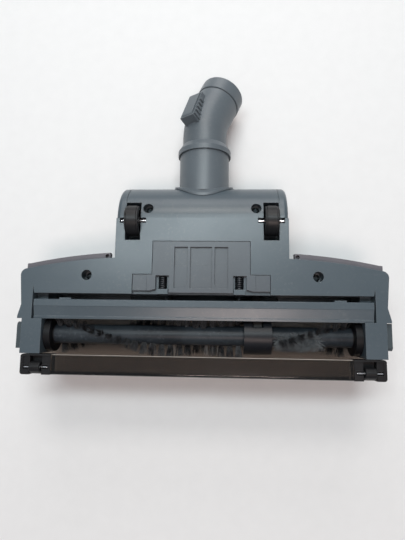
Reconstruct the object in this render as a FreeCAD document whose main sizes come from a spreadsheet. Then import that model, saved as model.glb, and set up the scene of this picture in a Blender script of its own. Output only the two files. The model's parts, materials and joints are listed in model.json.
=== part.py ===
import FreeCAD, Part
import math
import os
import re
import Sketcher

# Turbo brush lying on its crown, sole up: +X along the brush roll, +Y towards the neck, +Z out of the sole.
# Every piece is drawn with Y = 0 on the roll axis and Z = 0 on the crown, then moved by origin_y.
SIZES = {
    # overall
    "origin_y": (-94.575, "moves the middle of the overall length to the origin"),
    "sole_z": (62.0, "height of the sole above the crown"),
    "split_z": (31.0, "joint between bottom housing and top cover"),
    "wall": (2.2, "moulded wall"),
    "gap": (0.3, "gap between neighbouring pieces"),
    "run_gap": (0.05, "radial clearance of a turning fit"),
    # plan of the housing
    "cheek_x": (135.0, "half width over the cheeks"),
    "waist_x": (133.2, "half width at the waist of the cheeks"),
    "waist_y": (21.5, "narrowest place of the cheeks"),
    "flare_x": (135.6, "half width at the front of the cheeks"),
    "block_x": (64.4, "half width of the rear block"),
    "wing_tip_y": (48.3, "rear edge of a wing at its tip"),
    "wing_root_y": (56.8, "rear edge of a wing at the block"),
    "wing_edge_r": (400.0, "radius of a wing's rear edge"),
    "wing_round": (5.0, "corner radius of a wing tip"),
    "dome_y": (87.0, "dome and barrel axis"),
    "barrel_play": (0.6, "space between the neck's barrel and the dome's wall"),
    "dome_r": ("=barrel_r + barrel_play + wall", "outer radius of the dome"),
    "dome_edge": (3.2, "rounding of the dome ends"),
    "crown_slope_y": (26.0, "front end of the crown's slope"),
    "crown_slope_z": (8.0, "height at the front end of the slope"),
    "crown_flat_y": (44.0, "front end of the flat crown"),
    "wing_floor_y": (32.0, "rear end of a wing's flat underside"),
    "wing_rear_z": (26.0, "lowest edge of a wing's rear side"),
    # mouth
    "mouth_x": (117.0, "half width of the mouth"),
    "mouth_rear_y": (11.1, "rear lip of the mouth"),
    "mouth_front_y": (-14.2, "front of the end blocks"),
    "end_x": (132.0, "outer side of the end blocks"),
    "beam_x": (123.8, "half width of the mouth beam"),
    "beam_step_y": (20.6, "line where the beam starts to slope"),
    "beam_rear_y": (25.6, "rear edge of the beam"),
    "beam_lip_z": (60.2, "height of the beam's front lip"),
    "beam_skirt": (9.0, "depth of the beam's rear skirt"),
    "slot_rear_y": (30.0, "rear edge of the long slot"),
    "slot_depth": (9.5, "depth of the long slot"),
    "gap_tip_y": (35.3, "point of the cheek gap"),
    "cheek_gap": (2.2, "width of the cheek gap"),
    "bump_in_x": (96.3, "inner end of the slot bump"),
    "bump_out_x": (104.9, "outer end of the slot bump"),
    "bump_y": (1.1, "how far the slot bump stands in"),
    # brush roll
    "roll_z": (46.0, "height of the roll axis"),
    "core_r": (7.3, "radius of the roll core"),
    "tuft_tip_r": (17.0, "radius at the bristle tips"),
    "tuft_r": (1.5, "radius of a tuft"),
    "tuft_pitch": (6.4, "distance between tufts along the roll"),
    "tuft_rate": (1.8, "turn of a tuft row in degrees for each millimetre"),
    "tuft_lead": (220.0, "angle of the middle of a tuft row, from straight back"),
    "tuft_end_x": (106.4, "outermost tuft"),
    "journal_r": (3.0, "radius of the roll journals"),
    "disc_r": (13.4, "radius of the roll's end discs"),
    "disc_thick": (5.0, "thickness of an end disc"),
    "roll_bearing_r": (6.5, "outer radius of a roll bearing"),
    "roll_bearing_w": (7.0, "width of a roll bearing"),
    "cap_front_y": (-8.6, "front edge of a bearing cap"),
    "cap_low_z": (35.0, "lower edge of a bearing cap"),
    "cap_high_z": (58.5, "upper edge of a bearing cap"),
    "cap_round": (3.0, "corner radius of a bearing cap"),
    "cap_out_x": (136.8, "outer face of a bearing cap"),
    # belt drive
    "guard_in_x": (31.8, "inner end of the belt guard"),
    "guard_out_x": (52.0, "outer end of the belt guard"),
    "guard_r": (13.4, "outer radius of the belt guard"),
    "guard_wall": (1.4, "wall of the belt guard"),
    "guard_root": (3.0, "how far the guard's back reaches into its round"),
    "guard_low": (13.0, "how far the guard's back goes below the roll axis"),
    "guard_high": (8.0, "how far the guard's back goes above the roll axis"),
    "guard_roof": (1.8, "what is left of the guard over the belt"),
    "guard_skirt": (4.0, "how far the guard's open side stays from its back and from the roll axis"),
    "belt_x": (42.0, "middle of the belt"),
    "belt_w": (6.0, "belt width"),
    "belt_thick": (1.0, "belt thickness"),
    "belt_room": (1.0, "free space beside the belt"),
    "belt_under": (1.5, "floor left under the latch plate over the belt"),
    "belt_behind": (3.0, "free space behind the pinion"),
    "belt_low_z": (20.2, "lower end of the belt's room"),
    "roll_pulley_r": (9.0, "pulley radius on the roll"),
    "pinion_r": (4.5, "pinion radius on the turbine shaft"),
    # turbine
    "turbine_y": (47.5, "turbine axis behind the roll axis"),
    "turbine_z": (31.0, "height of the turbine axis"),
    "turbine_r": (16.0, "radius of the turbine rotor"),
    "turbine_x": (24.0, "half width of the turbine rotor"),
    "blade_count": (12, "turbine blades"),
    "blade_thick": (1.4, "blade thickness"),
    "hub_r": (5.5, "radius of the rotor hub"),
    "shaft_r": (2.0, "radius of the turbine shaft"),
    "turbine_wall_x": (28.0, "inner face of the turbine chamber's side walls"),
    "turbine_bearing_r": (5.0, "outer radius of a turbine bearing"),
    "turbine_bearing_w": (4.0, "width of a turbine bearing"),
    # rear wheels
    "wheel_in_x": (46.0, "inner side of a wheel slot"),
    "wheel_out_x": (57.5, "outer side of a wheel slot"),
    "wheel_front_y": (70.3, "front end of a wheel slot"),
    "wheel_rear_y": (99.8, "rear end of a wheel slot"),
    "wheel_y": (85.4, "rear wheel axis"),
    "wheel_z": (59.6, "height of the rear wheel axis"),
    "wheel_r": (11.5, "radius of a rear wheel"),
    "wheel_w": (10.3, "width of a rear wheel"),
    "wheel_shoulder": (1.4, "shoulder step of a rear wheel"),
    "well_depth": (15.0, "depth of a wheel well"),
    "pin_r": (1.1, "radius of the rear wheel pins"),
    "pin_in_x": (42.2, "inner end of a rear wheel pin"),
    "pin_out_x": (61.4, "outer end of a rear wheel pin"),
    "groove_w": (3.9, "width of a pin groove"),
    # front wheels
    "front_y": (-29.3, "front edge of the head"),
    "bar_rear_y": (-14.7, "rear edge of the front bar"),
    "carrier_in_x": (108.4, "inner side of a front wheel carrier"),
    "carrier_out_x": (130.8, "outer side of a front wheel carrier"),
    "carrier_depth": (10.0, "depth of a front wheel carrier"),
    "front_wheel_x": (119.4, "middle of a front wheel"),
    "front_wheel_w": (8.0, "width of a front wheel"),
    "front_wheel_y": (-24.0, "front wheel axis"),
    "front_wheel_z": (60.7, "height of the front wheel axis"),
    "front_wheel_r": (4.1, "radius of a front wheel"),
    "front_pin_r": (0.9, "radius of a front wheel pin"),
    "front_pin_x": (8.9, "half length of a front wheel pin"),
    "front_well_y": (-15.9, "rear end of a front wheel's well"),
    # window
    "window_z": (12.0, "outer height of the window over the roll"),
    "window_rear_y": (13.8, "rear edge of the window"),
    "window_wall": (2.4, "wall of the window"),
    "window_x": (130.8, "half width of the window"),
    # latch
    "latch_x": (36.0, "half width of the latch plate"),
    "latch_rear_y": (69.3, "rear edge of the latch plate"),
    "latch_front_y": (31.1, "front edge of the latch plate"),
    "shoulder_y": (43.7, "shoulder that the springs push on"),
    "arm_rear_y": (44.4, "rear edge of the plate's arms"),
    "arm_front_y": (32.5, "front edge of the plate's arms"),
    "arm_x": (50.5, "half width over the arms"),
    "arm_step_x": (40.0, "line where an arm steps down"),
    "latch_thick": (3.0, "thickness of the latch plate"),
    "notch_in_x": (23.6, "inner side of a spring notch"),
    "notch_out_x": (35.0, "outer side of a spring notch"),
    "spring_x": (28.3, "spring axis"),
    "spring_z": (58.9, "height of a spring's axis"),
    "spring_r": (2.9, "outer radius of a spring"),
    "wire_r": (0.45, "radius of the spring wire"),
    "spring_turns": (6, "turns of a latch spring"),
    "bump_top_y": (33.7, "top of the spring seat"),
    "pocket_rear_y": (65.1, "rear end of the finger pockets"),
    "pocket_front_y": (34.6, "front end of the finger pockets"),
    "pocket_step_y": (51.3, "step in the finger pockets"),
    "pocket_deep": (2.0, "depth of the rear half of a pocket"),
    "pocket_shallow": (1.3, "depth of the front half of a pocket"),
    # screws
    "wing_screw_x": (85.1, "wing screw"),
    "wing_screw_y": (43.6, "wing screw"),
    "dome_screw_x": (40.6, "dome screw"),
    "dome_screw_y": (94.8, "dome screw"),
    "recess_r": (3.85, "radius of a screw recess"),
    "recess_floor_z": (52.0, "floor of a screw recess"),
    "screw_r": (1.5, "radius of a screw shank"),
    "screw_head_r": (2.9, "radius of a screw head"),
    "boss_r": (5.6, "radius of a screw boss"),
    # trim
    "trim_in_x": (69.0, "inner end of a trim strip"),
    "trim_out_x": (132.4, "outer end of a trim strip"),
    "trim_thick": (4.4, "how far a trim strip stands out"),
    "trim_low_z": (52.5, "lower edge of a trim strip"),
    "trim_high_z": (57.5, "upper edge of a trim strip"),
    # neck
    "barrel_r": (28.2, "outer radius of the barrel"),
    "barrel_x": (34.4, "half width of the barrel"),
    "air_side": (4.0, "rim of the barrel beside its air way"),
    "air_lower_y": (3.0, "rear end of the air way's lower part, in front of the barrel's axis"),
    "air_upper_y": (10.0, "rear end of the air way's upper part, in front of the barrel's axis"),
    "air_upper_z": (14.0, "top of the barrel's air way over its axis"),
    "neck_r": (20.4, "outer radius of the neck"),
    "neck_bore_r": (18.0, "bore of the neck"),
    "neck_end": (63.5, "neck length from the barrel axis"),
    "saddle_r": (24.2, "radius of the neck's flare on the dome"),
    "saddle_thick": (1.4, "thickness of the flare's edge"),
    "tilt_down": (55.0, "tilt of the neck towards the crown in degrees"),
    "tilt_up": (6.0, "tilt of the neck towards the sole in degrees"),
    "cover_slot_x": (21.4, "half width of the neck slot"),
    # elbow, measured along the neck from the barrel axis
    "collar_r": (21.9, "outer radius of the swivel collar"),
    "collar_len": (8.6, "length of the swivel collar"),
    "elbow_r": (18.3, "outer radius of the elbow"),
    "elbow_bore_r": (16.2, "bore of the elbow"),
    "spigot_r": (17.9, "outer radius of the elbow's spigot"),
    "spigot_len": (16.0, "length of the elbow's spigot in the neck"),
    "bend_at": (86.7, "corner of the elbow's axis"),
    "bend_deg": (27.0, "bend of the elbow"),
    "bend_r": (42.0, "radius of the elbow's axis"),
    "swivel_deg": (50.5, "elbow turned from straight down towards +X"),
    "ring_at": (28.6, "start of the end ring behind the corner"),
    "ring_len": (12.3, "length of the end ring"),
    "ring_r": (18.9, "outer radius of the end ring"),
    "ring_groove": (0.9, "groove in front of the end ring"),
    # release button
    "button_w": (10.4, "width of the release button"),
    "button_len": (24.4, "length of the release button"),
    "button_front": (-9.2, "front of the release button, from the elbow's corner"),
    "button_seat_z": (19.2, "floor of the button's pocket, from the elbow's corner"),
    "button_high": (3.9, "height of the button's face over its pocket's floor"),
    "button_lift": (0.1, "space under the pressed button"),
    "button_bevel_y": (2.0, "length of the bevel on the button's front"),
    "button_bevel_z": (0.7, "height of the bevel on the button's front"),
    "button_skin": (0.9, "thickness of the button over its spring"),
    "button_spring_r": (2.2, "outer radius of the button's spring"),
    "button_turns": (2.5, "turns of the button's spring"),
    "button_wire_r": (0.3, "half thickness of the button spring's wire"),
    "button_travel": (1.2, "travel of the release button"),
    "button_lean": (25.0, "lean of the release button from the neck's axis in degrees"),
    "button_turn": (15.5, "turn of the release button about the pipe's axis in degrees"),
    "button_rim": (1.1, "width of the frame around the button, and of its ribs"),
    "button_proud": (0.8, "how far the button stands over its frame"),
    "frame_depth": (9.0, "how far the button's frame goes down from its pocket's floor"),
    "rib_count": (5, "ribs on each side of the button"),
    "rib_start": (0.6, "first rib behind the button's front"),
    "rib_w": (1.8, "width of a rib"),
    "rib_pitch": (4.2, "distance between the ribs beside the button"),
}

doc = FreeCAD.newDocument("turbo_brush")
sheet = doc.addObject("Spreadsheet::Sheet", "Sizes")


def fill_sheet():
    """Write every driving dimension to the sheet, one row each."""
    for row, (alias, (_, note)) in enumerate(SIZES.items(), start=1):
        sheet.setAlias(f"A{row}", alias)
        sheet.set(f"B{row}", note)
    for row, (size, _) in enumerate(SIZES.values(), start=1):
        sheet.set(f"A{row}", str(size))
    doc.recompute()


def linked(text):
    """Turn the size names in an expression into references to the sheet."""
    return re.sub(r"[a-z][a-z_]*", lambda m: "Sizes." + m.group() if m.group() in SIZES else m.group(),
                  str(text))


def value(text):
    """Return the number that an expression has now."""
    found = sheet.evalExpression(linked(text))
    return float(getattr(found, "Value", found))


def bind(item, prop, text):
    """Bind a property to an expression on the sheet."""
    item.setExpression(prop, linked(text))


def place(item, x="0", y="0", z="0"):
    """Bind an object's position."""
    for axis, text in zip("xyz", (x, y, z)):
        bind(item, f"Placement.Base.{axis}", text)
    return item


def box(name, x, y, z):
    """Make a box from its low and high limits along each axis."""
    item = doc.addObject("Part::Box", name)
    for prop, (low, high) in zip(("Length", "Width", "Height"), (x, y, z)):
        bind(item, prop, f"({high}) - ({low})")
    return place(item, x[0], y[0], z[0])


AXIS_TURN = {"x": ((0, 1, 0), 90), "y": ((1, 0, 0), -90), "z": ((0, 0, 1), 0)}


def rod(name, axis, centre, radius, length):
    """Make a cylinder that starts at centre and runs along an axis."""
    item = doc.addObject("Part::Cylinder", name)
    bind(item, "Radius", radius)
    bind(item, "Height", length)
    direction, angle = AXIS_TURN[axis]
    item.Placement.Rotation = FreeCAD.Rotation(FreeCAD.Vector(*direction), angle)
    return place(item, *centre)


def about_x(degrees):
    """Return a turn about the X axis."""
    return FreeCAD.Rotation(FreeCAD.Vector(1, 0, 0), degrees)


def fused(name, *items):
    """Fuse solids into one."""
    item = doc.addObject("Part::MultiFuse", name)
    item.Shapes = list(items)
    item.Refine = True
    return item


def common(name, *items):
    """Keep what two solids share."""
    item = doc.addObject("Part::MultiCommon", name)
    item.Shapes = list(items)
    return item


def cut(name, base, *tools):
    """Cut one or more solids out of another."""
    item = doc.addObject("Part::Cut", name)
    item.Base = base
    item.Tool = tools[0] if len(tools) == 1 else fused(name + "_cuts", *tools)
    item.Refine = True
    return item


def mirrored(name, item):
    """Copy a solid to the other side of the plane X = 0."""
    twin = doc.addObject("Part::Mirroring", name)
    twin.Source = item
    twin.Normal = (1, 0, 0)
    return twin


def both_sides(name, item):
    """Return a solid together with its mirror image."""
    return fused(name, item, mirrored(name + "_left", item))


def new_body(name):
    """Start a body."""
    return doc.addObject("PartDesign::Body", name)


def on_plane(body, role, offset="0"):
    """Start a sketch on one of the body's origin planes, moved along its normal."""
    sketch = body.newObject("Sketcher::SketchObject", body.Name + "_sketch")
    plane = [item for item in body.Origin.OriginFeatures if item.Role == role][0]
    sketch.AttachmentSupport = [(plane, "")]
    sketch.MapMode = "FlatFace"
    bind(sketch, "AttachmentOffset.Base.z", offset)
    return sketch


def fix(sketch, kind, refs, text, number):
    """Add a dimension to a sketch and bind it."""
    index = sketch.addConstraint(Sketcher.Constraint(kind, *refs, number))
    bind(sketch, f"Constraints[{index}]", text)


def arc_between(start, end, radius, side):
    """Return an arc from start to end; side 1 turns left, side -1 turns right."""
    chord = end - start
    middle = (start + end) * 0.5
    normal = FreeCAD.Vector(-chord.y, chord.x, 0).normalize() * side
    centre = middle + normal * math.sqrt(max(radius ** 2 - (chord.Length / 2) ** 2, 0))
    angles = [math.atan2(point.y - centre.y, point.x - centre.x) for point in (start, end)]
    if side < 0:
        angles.reverse()
    circle = Part.Circle(centre, FreeCAD.Vector(0, 0, 1), radius)
    return Part.ArcOfCircle(circle, *angles)


def outline(sketch, points):
    """Draw a closed outline; a point (x, y, radius, side) starts an arc to the next point."""
    spots = [FreeCAD.Vector(value(point[0]), value(point[1]), 0) for point in points]
    first = sketch.GeometryCount
    ends = []
    for index, point in enumerate(points):
        start, end = spots[index], spots[(index + 1) % len(points)]
        if len(point) == 4:
            sketch.addGeometry(arc_between(start, end, value(point[2]), point[3]))
            ends.append((1, 2) if point[3] > 0 else (2, 1))
        else:
            sketch.addGeometry(Part.LineSegment(start, end))
            ends.append((1, 2))
    for index in range(len(points)):
        after = (index + 1) % len(points)
        joint = (first + index, ends[index][1], first + after, ends[after][0])
        sketch.addConstraint(Sketcher.Constraint("Coincident", *joint))
    for index, point in enumerate(points):
        corner = (first + index, ends[index][0])
        fix(sketch, "DistanceX", (-1, 1, *corner), point[0], spots[index].x)
        fix(sketch, "DistanceY", (-1, 1, *corner), point[1], spots[index].y)
        if len(point) == 4:
            fix(sketch, "Radius", (first + index,), point[2], value(point[2]))
    return sketch


def circle(sketch, x, y, radius):
    """Draw a circle."""
    middle = FreeCAD.Vector(value(x), value(y), 0)
    index = sketch.addGeometry(Part.Circle(middle, FreeCAD.Vector(0, 0, 1), value(radius)))
    fix(sketch, "DistanceX", (-1, 1, index, 3), x, middle.x)
    fix(sketch, "DistanceY", (-1, 1, index, 3), y, middle.y)
    fix(sketch, "Radius", (index,), radius, value(radius))
    return sketch


def feature(body, kind, sketch, **settings):
    """Add a sketch-based feature to a body and bind its sizes."""
    item = body.newObject(f"PartDesign::{kind}", f"{body.Name}_{kind.lower()}")
    item.Profile = sketch
    for prop, text in settings.items():
        bind(item, prop, text)
    sketch.Visibility = False
    return item


def slab(name, role, points, low, high):
    """Make a prism on a plane between two offsets along the plane's normal."""
    body = new_body(name)
    feature(body, "Pad", outline(on_plane(body, role, low), points), Length=f"({high}) - ({low})")
    return body


def turned(name, points, about="x"):
    """Turn an outline of (along the axis, radius) points once round the body's own X or Y axis."""
    body = new_body(name)
    role = "XY_Plane"
    if about == "y":
        points = [(point[1], point[0], *point[2:]) for point in points]
    sketch = outline(on_plane(body, role), points)
    item = feature(body, "Revolution", sketch)
    item.ReferenceAxis = (sketch, ["H_Axis" if about == "x" else "V_Axis"])
    item.Angle = 360
    return body


nodes = []


def node(name, item, x="0", y="0", z="0", turn=None):
    """Name a finished sub-part and give it its place in the head."""
    item.Label = name
    if turn is not None:
        item.Placement.Rotation = turn
    place(item, x, f"origin_y + {y}", z)
    nodes.append(item)
    return item


def node_pair(name, right, x="0", y="0", z="0"):
    """Keep a right-hand sub-part and its mirror image as two nodes."""
    node(f"{name}_right", right, x, y, z)
    twin = mirrored(f"{name}_left_body", right)
    twin.Label = f"{name}_left"
    nodes.append(twin)


def plan(name, inset, low, high):
    """Make a prism of the housing's plan, drawn in by an inset."""
    points = [
        (f"flare_x - ({inset})", "mouth_rear_y"),
        (f"flare_x - ({inset})", "mouth_rear_y + 1.6"),
        (f"waist_x - ({inset})", "waist_y"),
        (f"cheek_x - ({inset})", "wing_tip_y - wing_round", f"wing_round - ({inset})", 1),
        (f"cheek_x - wing_round", f"wing_tip_y - ({inset})", f"wing_edge_r - ({inset})", 1),
        (f"block_x - ({inset})", f"wing_root_y - ({inset})"),
        (f"block_x - ({inset})", "dome_y"),
        (f"({inset}) - block_x", "dome_y"),
        (f"({inset}) - block_x", f"wing_root_y - ({inset})", f"wing_edge_r - ({inset})", 1),
        (f"wing_round - cheek_x", f"wing_tip_y - ({inset})", f"wing_round - ({inset})", 1),
        (f"({inset}) - cheek_x", "wing_tip_y - wing_round"),
        (f"({inset}) - waist_x", "waist_y"),
        (f"({inset}) - flare_x", "mouth_rear_y + 1.6"),
        (f"({inset}) - flare_x", "mouth_rear_y"),
    ]
    return slab(name, "XY_Plane", points, low, high)


def dome(name, radius, half):
    """Make a drum on the dome's axis with rounded ends."""
    points = [
        (f"-({half})", "0"),
        (f"-({half})", f"{radius} - dome_edge", "dome_edge", -1),
        (f"dome_edge - ({half})", f"{radius}"),
        (f"{half} - dome_edge", f"{radius}", "dome_edge", -1),
        (f"{half}", f"{radius} - dome_edge"),
        (f"{half}", "0"),
    ]
    return place(turned(name, points), "0", "dome_y", "split_z")


def drum(name, radius, half):
    """Make a plain cylinder on the dome's axis."""
    return rod(name, "x", (f"-({half})", "dome_y", "split_z"), radius, f"2 * ({half})")


def neck_slot(name, level_deg, limit_deg):
    """Make the slot that the neck needs in the dome's wall, from one tilt to another, with a round end."""
    low, high = sorted((level_deg, limit_deg), key=value)
    wedge = doc.addObject("Part::Cylinder", name + "_wedge")
    bind(wedge, "Radius", "dome_r + 5")
    bind(wedge, "Height", "2 * cover_slot_x")
    bind(wedge, "Angle", f"({high}) - ({low})")
    place(wedge, "-cover_slot_x", "dome_y", "split_z")
    lay = FreeCAD.Rotation(FreeCAD.Vector(0, 1, 0), 90)
    wedge.Placement.Rotation = about_x(90 + value(low)).multiply(lay)
    end = doc.addObject("Part::Cylinder", name + "_end")
    bind(end, "Radius", "cover_slot_x")
    bind(end, "Height", "dome_r + 5")
    place(end, "0", "dome_y", "split_z")
    end.Placement.Rotation = about_x(value(limit_deg) - 90)
    return fused(name, wedge, end)


def make_bottom_housing():
    """Make the moulding with the sole, the cheeks, the end blocks and the dome's upper half."""
    shell = plan("sole_plan", "0", "split_z", "sole_z")
    upper = box("upper_half", ("-flare_x", "flare_x"), ("mouth_front_y", "dome_y + dome_r"),
                ("split_z", "sole_z"))
    end_block = box("end_block", ("mouth_x", "end_x"), ("mouth_front_y", "mouth_rear_y + wall"),
                    ("split_z", "sole_z"))
    outer = fused("housing_outer", shell,
                  common("dome_upper", dome("dome_outer", "dome_r", "block_x"), upper))

    roof = "sole_z - wall"
    wing_room = cut(
        "wing_room",
        plan("wing_room_plan", "wall", "split_z - 1", roof),
        box("wing_room_front", ("-flare_x", "flare_x"), ("0", "slot_rear_y + wall"), ("0", "sole_z")),
        box("wing_room_mid", ("-block_x - wall", "block_x + wall"), ("0", "dome_y + 1"), ("0", "sole_z")),
    )
    block_room = box("block_room", ("wall - block_x", "block_x - wall"), ("slot_rear_y + wall", "dome_y"),
                     ("split_z - 1", roof))
    hollow = cut("housing_hollow", outer, wing_room, block_room,
                 drum("dome_room", "dome_r - wall", "block_x - dome_edge"))

    partition = box("partition", ("barrel_x + gap", "barrel_x + gap + wall"),
                    ("latch_rear_y", "dome_y + dome_r - wall"),
                    ("split_z", roof))
    partition = common("partition_trim", partition, fused(
        "partition_limit", drum("partition_drum", "dome_r - wall / 2", "block_x"),
        box("partition_front", ("0", "block_x"), ("0", "dome_y"), ("0", "sole_z"))))
    well = box("well", ("wheel_in_x - wall", "wheel_out_x + wall"),
               ("wheel_front_y - wall", "wheel_rear_y + wall"),
               ("sole_z - well_depth - wall", "sole_z"))
    boss = rod("dome_boss", "z", ("dome_screw_x", "dome_screw_y", "split_z"), "boss_r", "sole_z - split_z")
    inside_dome = fused("inside_dome", drum("dome_limit", "dome_r - wall / 2", "block_x - wall"),
                        box("dome_limit_front", ("-block_x + 1", "block_x - 1"), ("0", "dome_y"),
                            ("0", "sole_z - 1")))
    fittings = common("dome_fittings", fused("well_and_boss", well, boss), inside_dome)
    barrel_room = drum("barrel_room", "barrel_r + gap", "barrel_x + gap")
    fittings = cut("dome_fittings_clear", fittings, barrel_room)
    wing_boss = rod("wing_boss", "z", ("wing_screw_x", "wing_screw_y", "split_z"), "boss_r",
                    "sole_z - 1 - split_z")
    latch_bed = box("latch_bed", ("0", "arm_x + gap + wall"), ("slot_rear_y", "latch_rear_y + gap + wall"),
                    ("spring_z - spring_r - 1.5", "sole_z - 1"))
    room_wall = box("turbine_room_wall", ("turbine_wall_x", "turbine_wall_x + wall"),
                    ("slot_rear_y", "latch_rear_y + 1"), ("split_z", roof))
    fixed = fused("housing_right", partition, fittings, wing_boss, latch_bed, room_wall, end_block)
    added = cut("housing_fittings", both_sides("housing_both", fixed), barrel_room, bearing_seat("housing"))

    slot_floor = "sole_z - slot_depth"
    mouth_room = box("mouth_room", ("-mouth_x", "mouth_x"), ("mouth_front_y - 1", "slot_rear_y"),
                     ("split_z - 1", "sole_z + 1"))
    slot_bump = box("housing_slot_bump", ("bump_in_x", "bump_out_x"), ("slot_rear_y - bump_y", "slot_rear_y"),
                    (slot_floor, "sole_z - 0.8"))
    slot_room = cut("slot_room", box("slot_plan", ("-beam_x - cheek_gap / 2", "beam_x + cheek_gap / 2"),
                                     ("mouth_rear_y", "slot_rear_y"), (slot_floor, "sole_z + 1")),
                    both_sides("housing_slot_bumps", slot_bump))
    beam_side = box("beam_side", ("mouth_x - 1", "beam_x + cheek_gap / 2"), ("mouth_rear_y", "slot_rear_y"),
                    (slot_floor, "sole_z + 1"))
    point = slab("cheek_point", "XY_Plane", [
        ("beam_x", "slot_rear_y - 1"),
        ("beam_x + cheek_gap / 2", "slot_rear_y - 1"),
        ("beam_x + cheek_gap / 2", "gap_tip_y"),
    ], slot_floor, "sole_z + 1")
    wheel_slot = box("wheel_slot", ("wheel_in_x", "wheel_out_x"), ("wheel_front_y", "wheel_rear_y"),
                     ("sole_z - well_depth", "sole_z + 1"))
    pin_groove = box("pin_groove", ("pin_in_x - gap", "pin_out_x + gap"),
                     ("wheel_y - groove_w / 2", "wheel_y + groove_w / 2"), ("wheel_z - pin_r - 0.02",
                                                                            "sole_z + 1"))
    recesses = [
        rod(f"{name}_recess", "z", (f"{name}_x", f"{name}_y", "recess_floor_z"), "recess_r", "sole_z")
        for name in ("wing_screw", "dome_screw")
    ]
    holes = [
        rod(f"{name}_hole", "z", (f"{name}_x", f"{name}_y", "0"), "screw_r + gap", "sole_z")
        for name in ("wing_screw", "dome_screw")
    ]
    seat = rod("roll_bearing_seat", "x", ("mouth_x - 1", "0", "roll_z"), "roll_bearing_r + 0.02",
               "end_x - mouth_x + 2")
    seam = cut("dome_seam", drum("seam_out", "dome_r + 1", "wheel_out_x + 0.5"),
               drum("seam_in", "dome_r - 0.7", "block_x"),
               drum("seam_mid", "dome_r + 2", "wheel_out_x - 0.1"),
               box("seam_front", ("-block_x", "block_x"), ("0", "wheel_rear_y"), ("0", "sole_z + 9")))
    air_way = box("air_way", ("-turbine_wall_x + wall", "turbine_wall_x - wall"),
                  ("mouth_rear_y", "latch_front_y + wall"),
                  ("split_z - 1", "split_z + 16"))
    belt_way = box("belt_way", belt_sides(), ("mouth_rear_y", "turbine_y"),
                   ("split_z - 1", "sole_z - latch_thick - wall - belt_under"))
    right = fused("housing_right_cuts", beam_side, point, wheel_slot, pin_groove, *recesses, *holes, seat)
    cuts = [mouth_room, slot_room, both_sides("housing_side_cuts", right), latch_recess(), air_way, belt_way,
            seam,
            neck_slot("neck_slot_upper", "-1", "tilt_up")]
    housing = cut("bottom_housing_body", fused("housing_solid", hollow, added), *cuts)
    node("bottom_housing", housing)


def bearing_seat(name):
    """Make the bore that the turbine bearings sit in."""
    return rod(f"{name}_bearing_seat", "x", ("-turbine_wall_x - 2 * wall", "turbine_y", "turbine_z"),
               "turbine_bearing_r + 0.02", "2 * turbine_wall_x + 4 * wall")


def latch_recess():
    """Make the T-shaped recess that the latch plate slides in, open to the long slot."""
    floor = "sole_z - latch_thick - gap"
    body = box("latch_recess_body", ("-latch_x - gap", "latch_x + gap"),
               ("slot_rear_y - 1", "latch_rear_y + gap"),
               (floor, "sole_z + 1"))
    arms = box("latch_recess_arms", ("-arm_x - gap", "arm_x + gap"), ("slot_rear_y - 1", "arm_rear_y + gap"),
               (floor, "sole_z + 1"))
    seat = box("spring_seat", ("spring_x - spring_r - 1.2", "spring_x + spring_r + 1.2"),
               ("slot_rear_y", "bump_top_y"),
               (f"{floor} - 1", "sole_z"))
    trough = rod("spring_trough", "y", ("spring_x", "bump_top_y", "spring_z"), "spring_r + gap",
                 "shoulder_y + gap - bump_top_y")
    space = cut("latch_recess_space", fused("latch_recess_plan", body, arms),
                both_sides("spring_seats", seat))
    return fused("latch_recess", space, both_sides("spring_troughs", trough))


def make_mouth_beam():
    """Make the bar behind the mouth: a sloped lip with a skirt down to the slot's floor."""
    thick = "wall"
    profile = [
        ("mouth_rear_y", "beam_lip_z - 0.8"),
        ("mouth_rear_y + 3", f"beam_lip_z - {thick} + 0.3"),
        ("beam_rear_y - wall", f"sole_z - {thick}"),
        ("beam_rear_y - wall", "sole_z - beam_skirt"),
        ("beam_rear_y", "sole_z - beam_skirt"),
        ("beam_rear_y", "sole_z - 0.6"),
        ("beam_rear_y - 0.6", "sole_z"),
        ("beam_step_y", "sole_z"),
        ("beam_step_y - 0.5", "sole_z - 0.4"),
        ("mouth_rear_y + 2.1", "beam_lip_z"),
        ("mouth_rear_y + 1.8", "beam_lip_z + 0.6"),
        ("mouth_rear_y", "beam_lip_z + 0.3"),
    ]
    bar = slab("beam_bar", "YZ_Plane", profile, "-beam_x", "beam_x")
    side = box("beam_side_cut", ("mouth_x - gap", "beam_x + 1"), ("0", "beam_rear_y + 1"),
               ("0", "sole_z - slot_depth + 0.05"))
    bump = box("slot_bump", ("bump_in_x", "bump_out_x"), ("beam_rear_y - 1", "beam_rear_y + bump_y"),
               ("sole_z - slot_depth + 1", "sole_z - 0.8"))
    node("mouth_beam", fused("mouth_beam_body", cut("beam_trimmed", bar, both_sides("beam_side_cuts", side)),
                             both_sides("slot_bumps", bump)))


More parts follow.
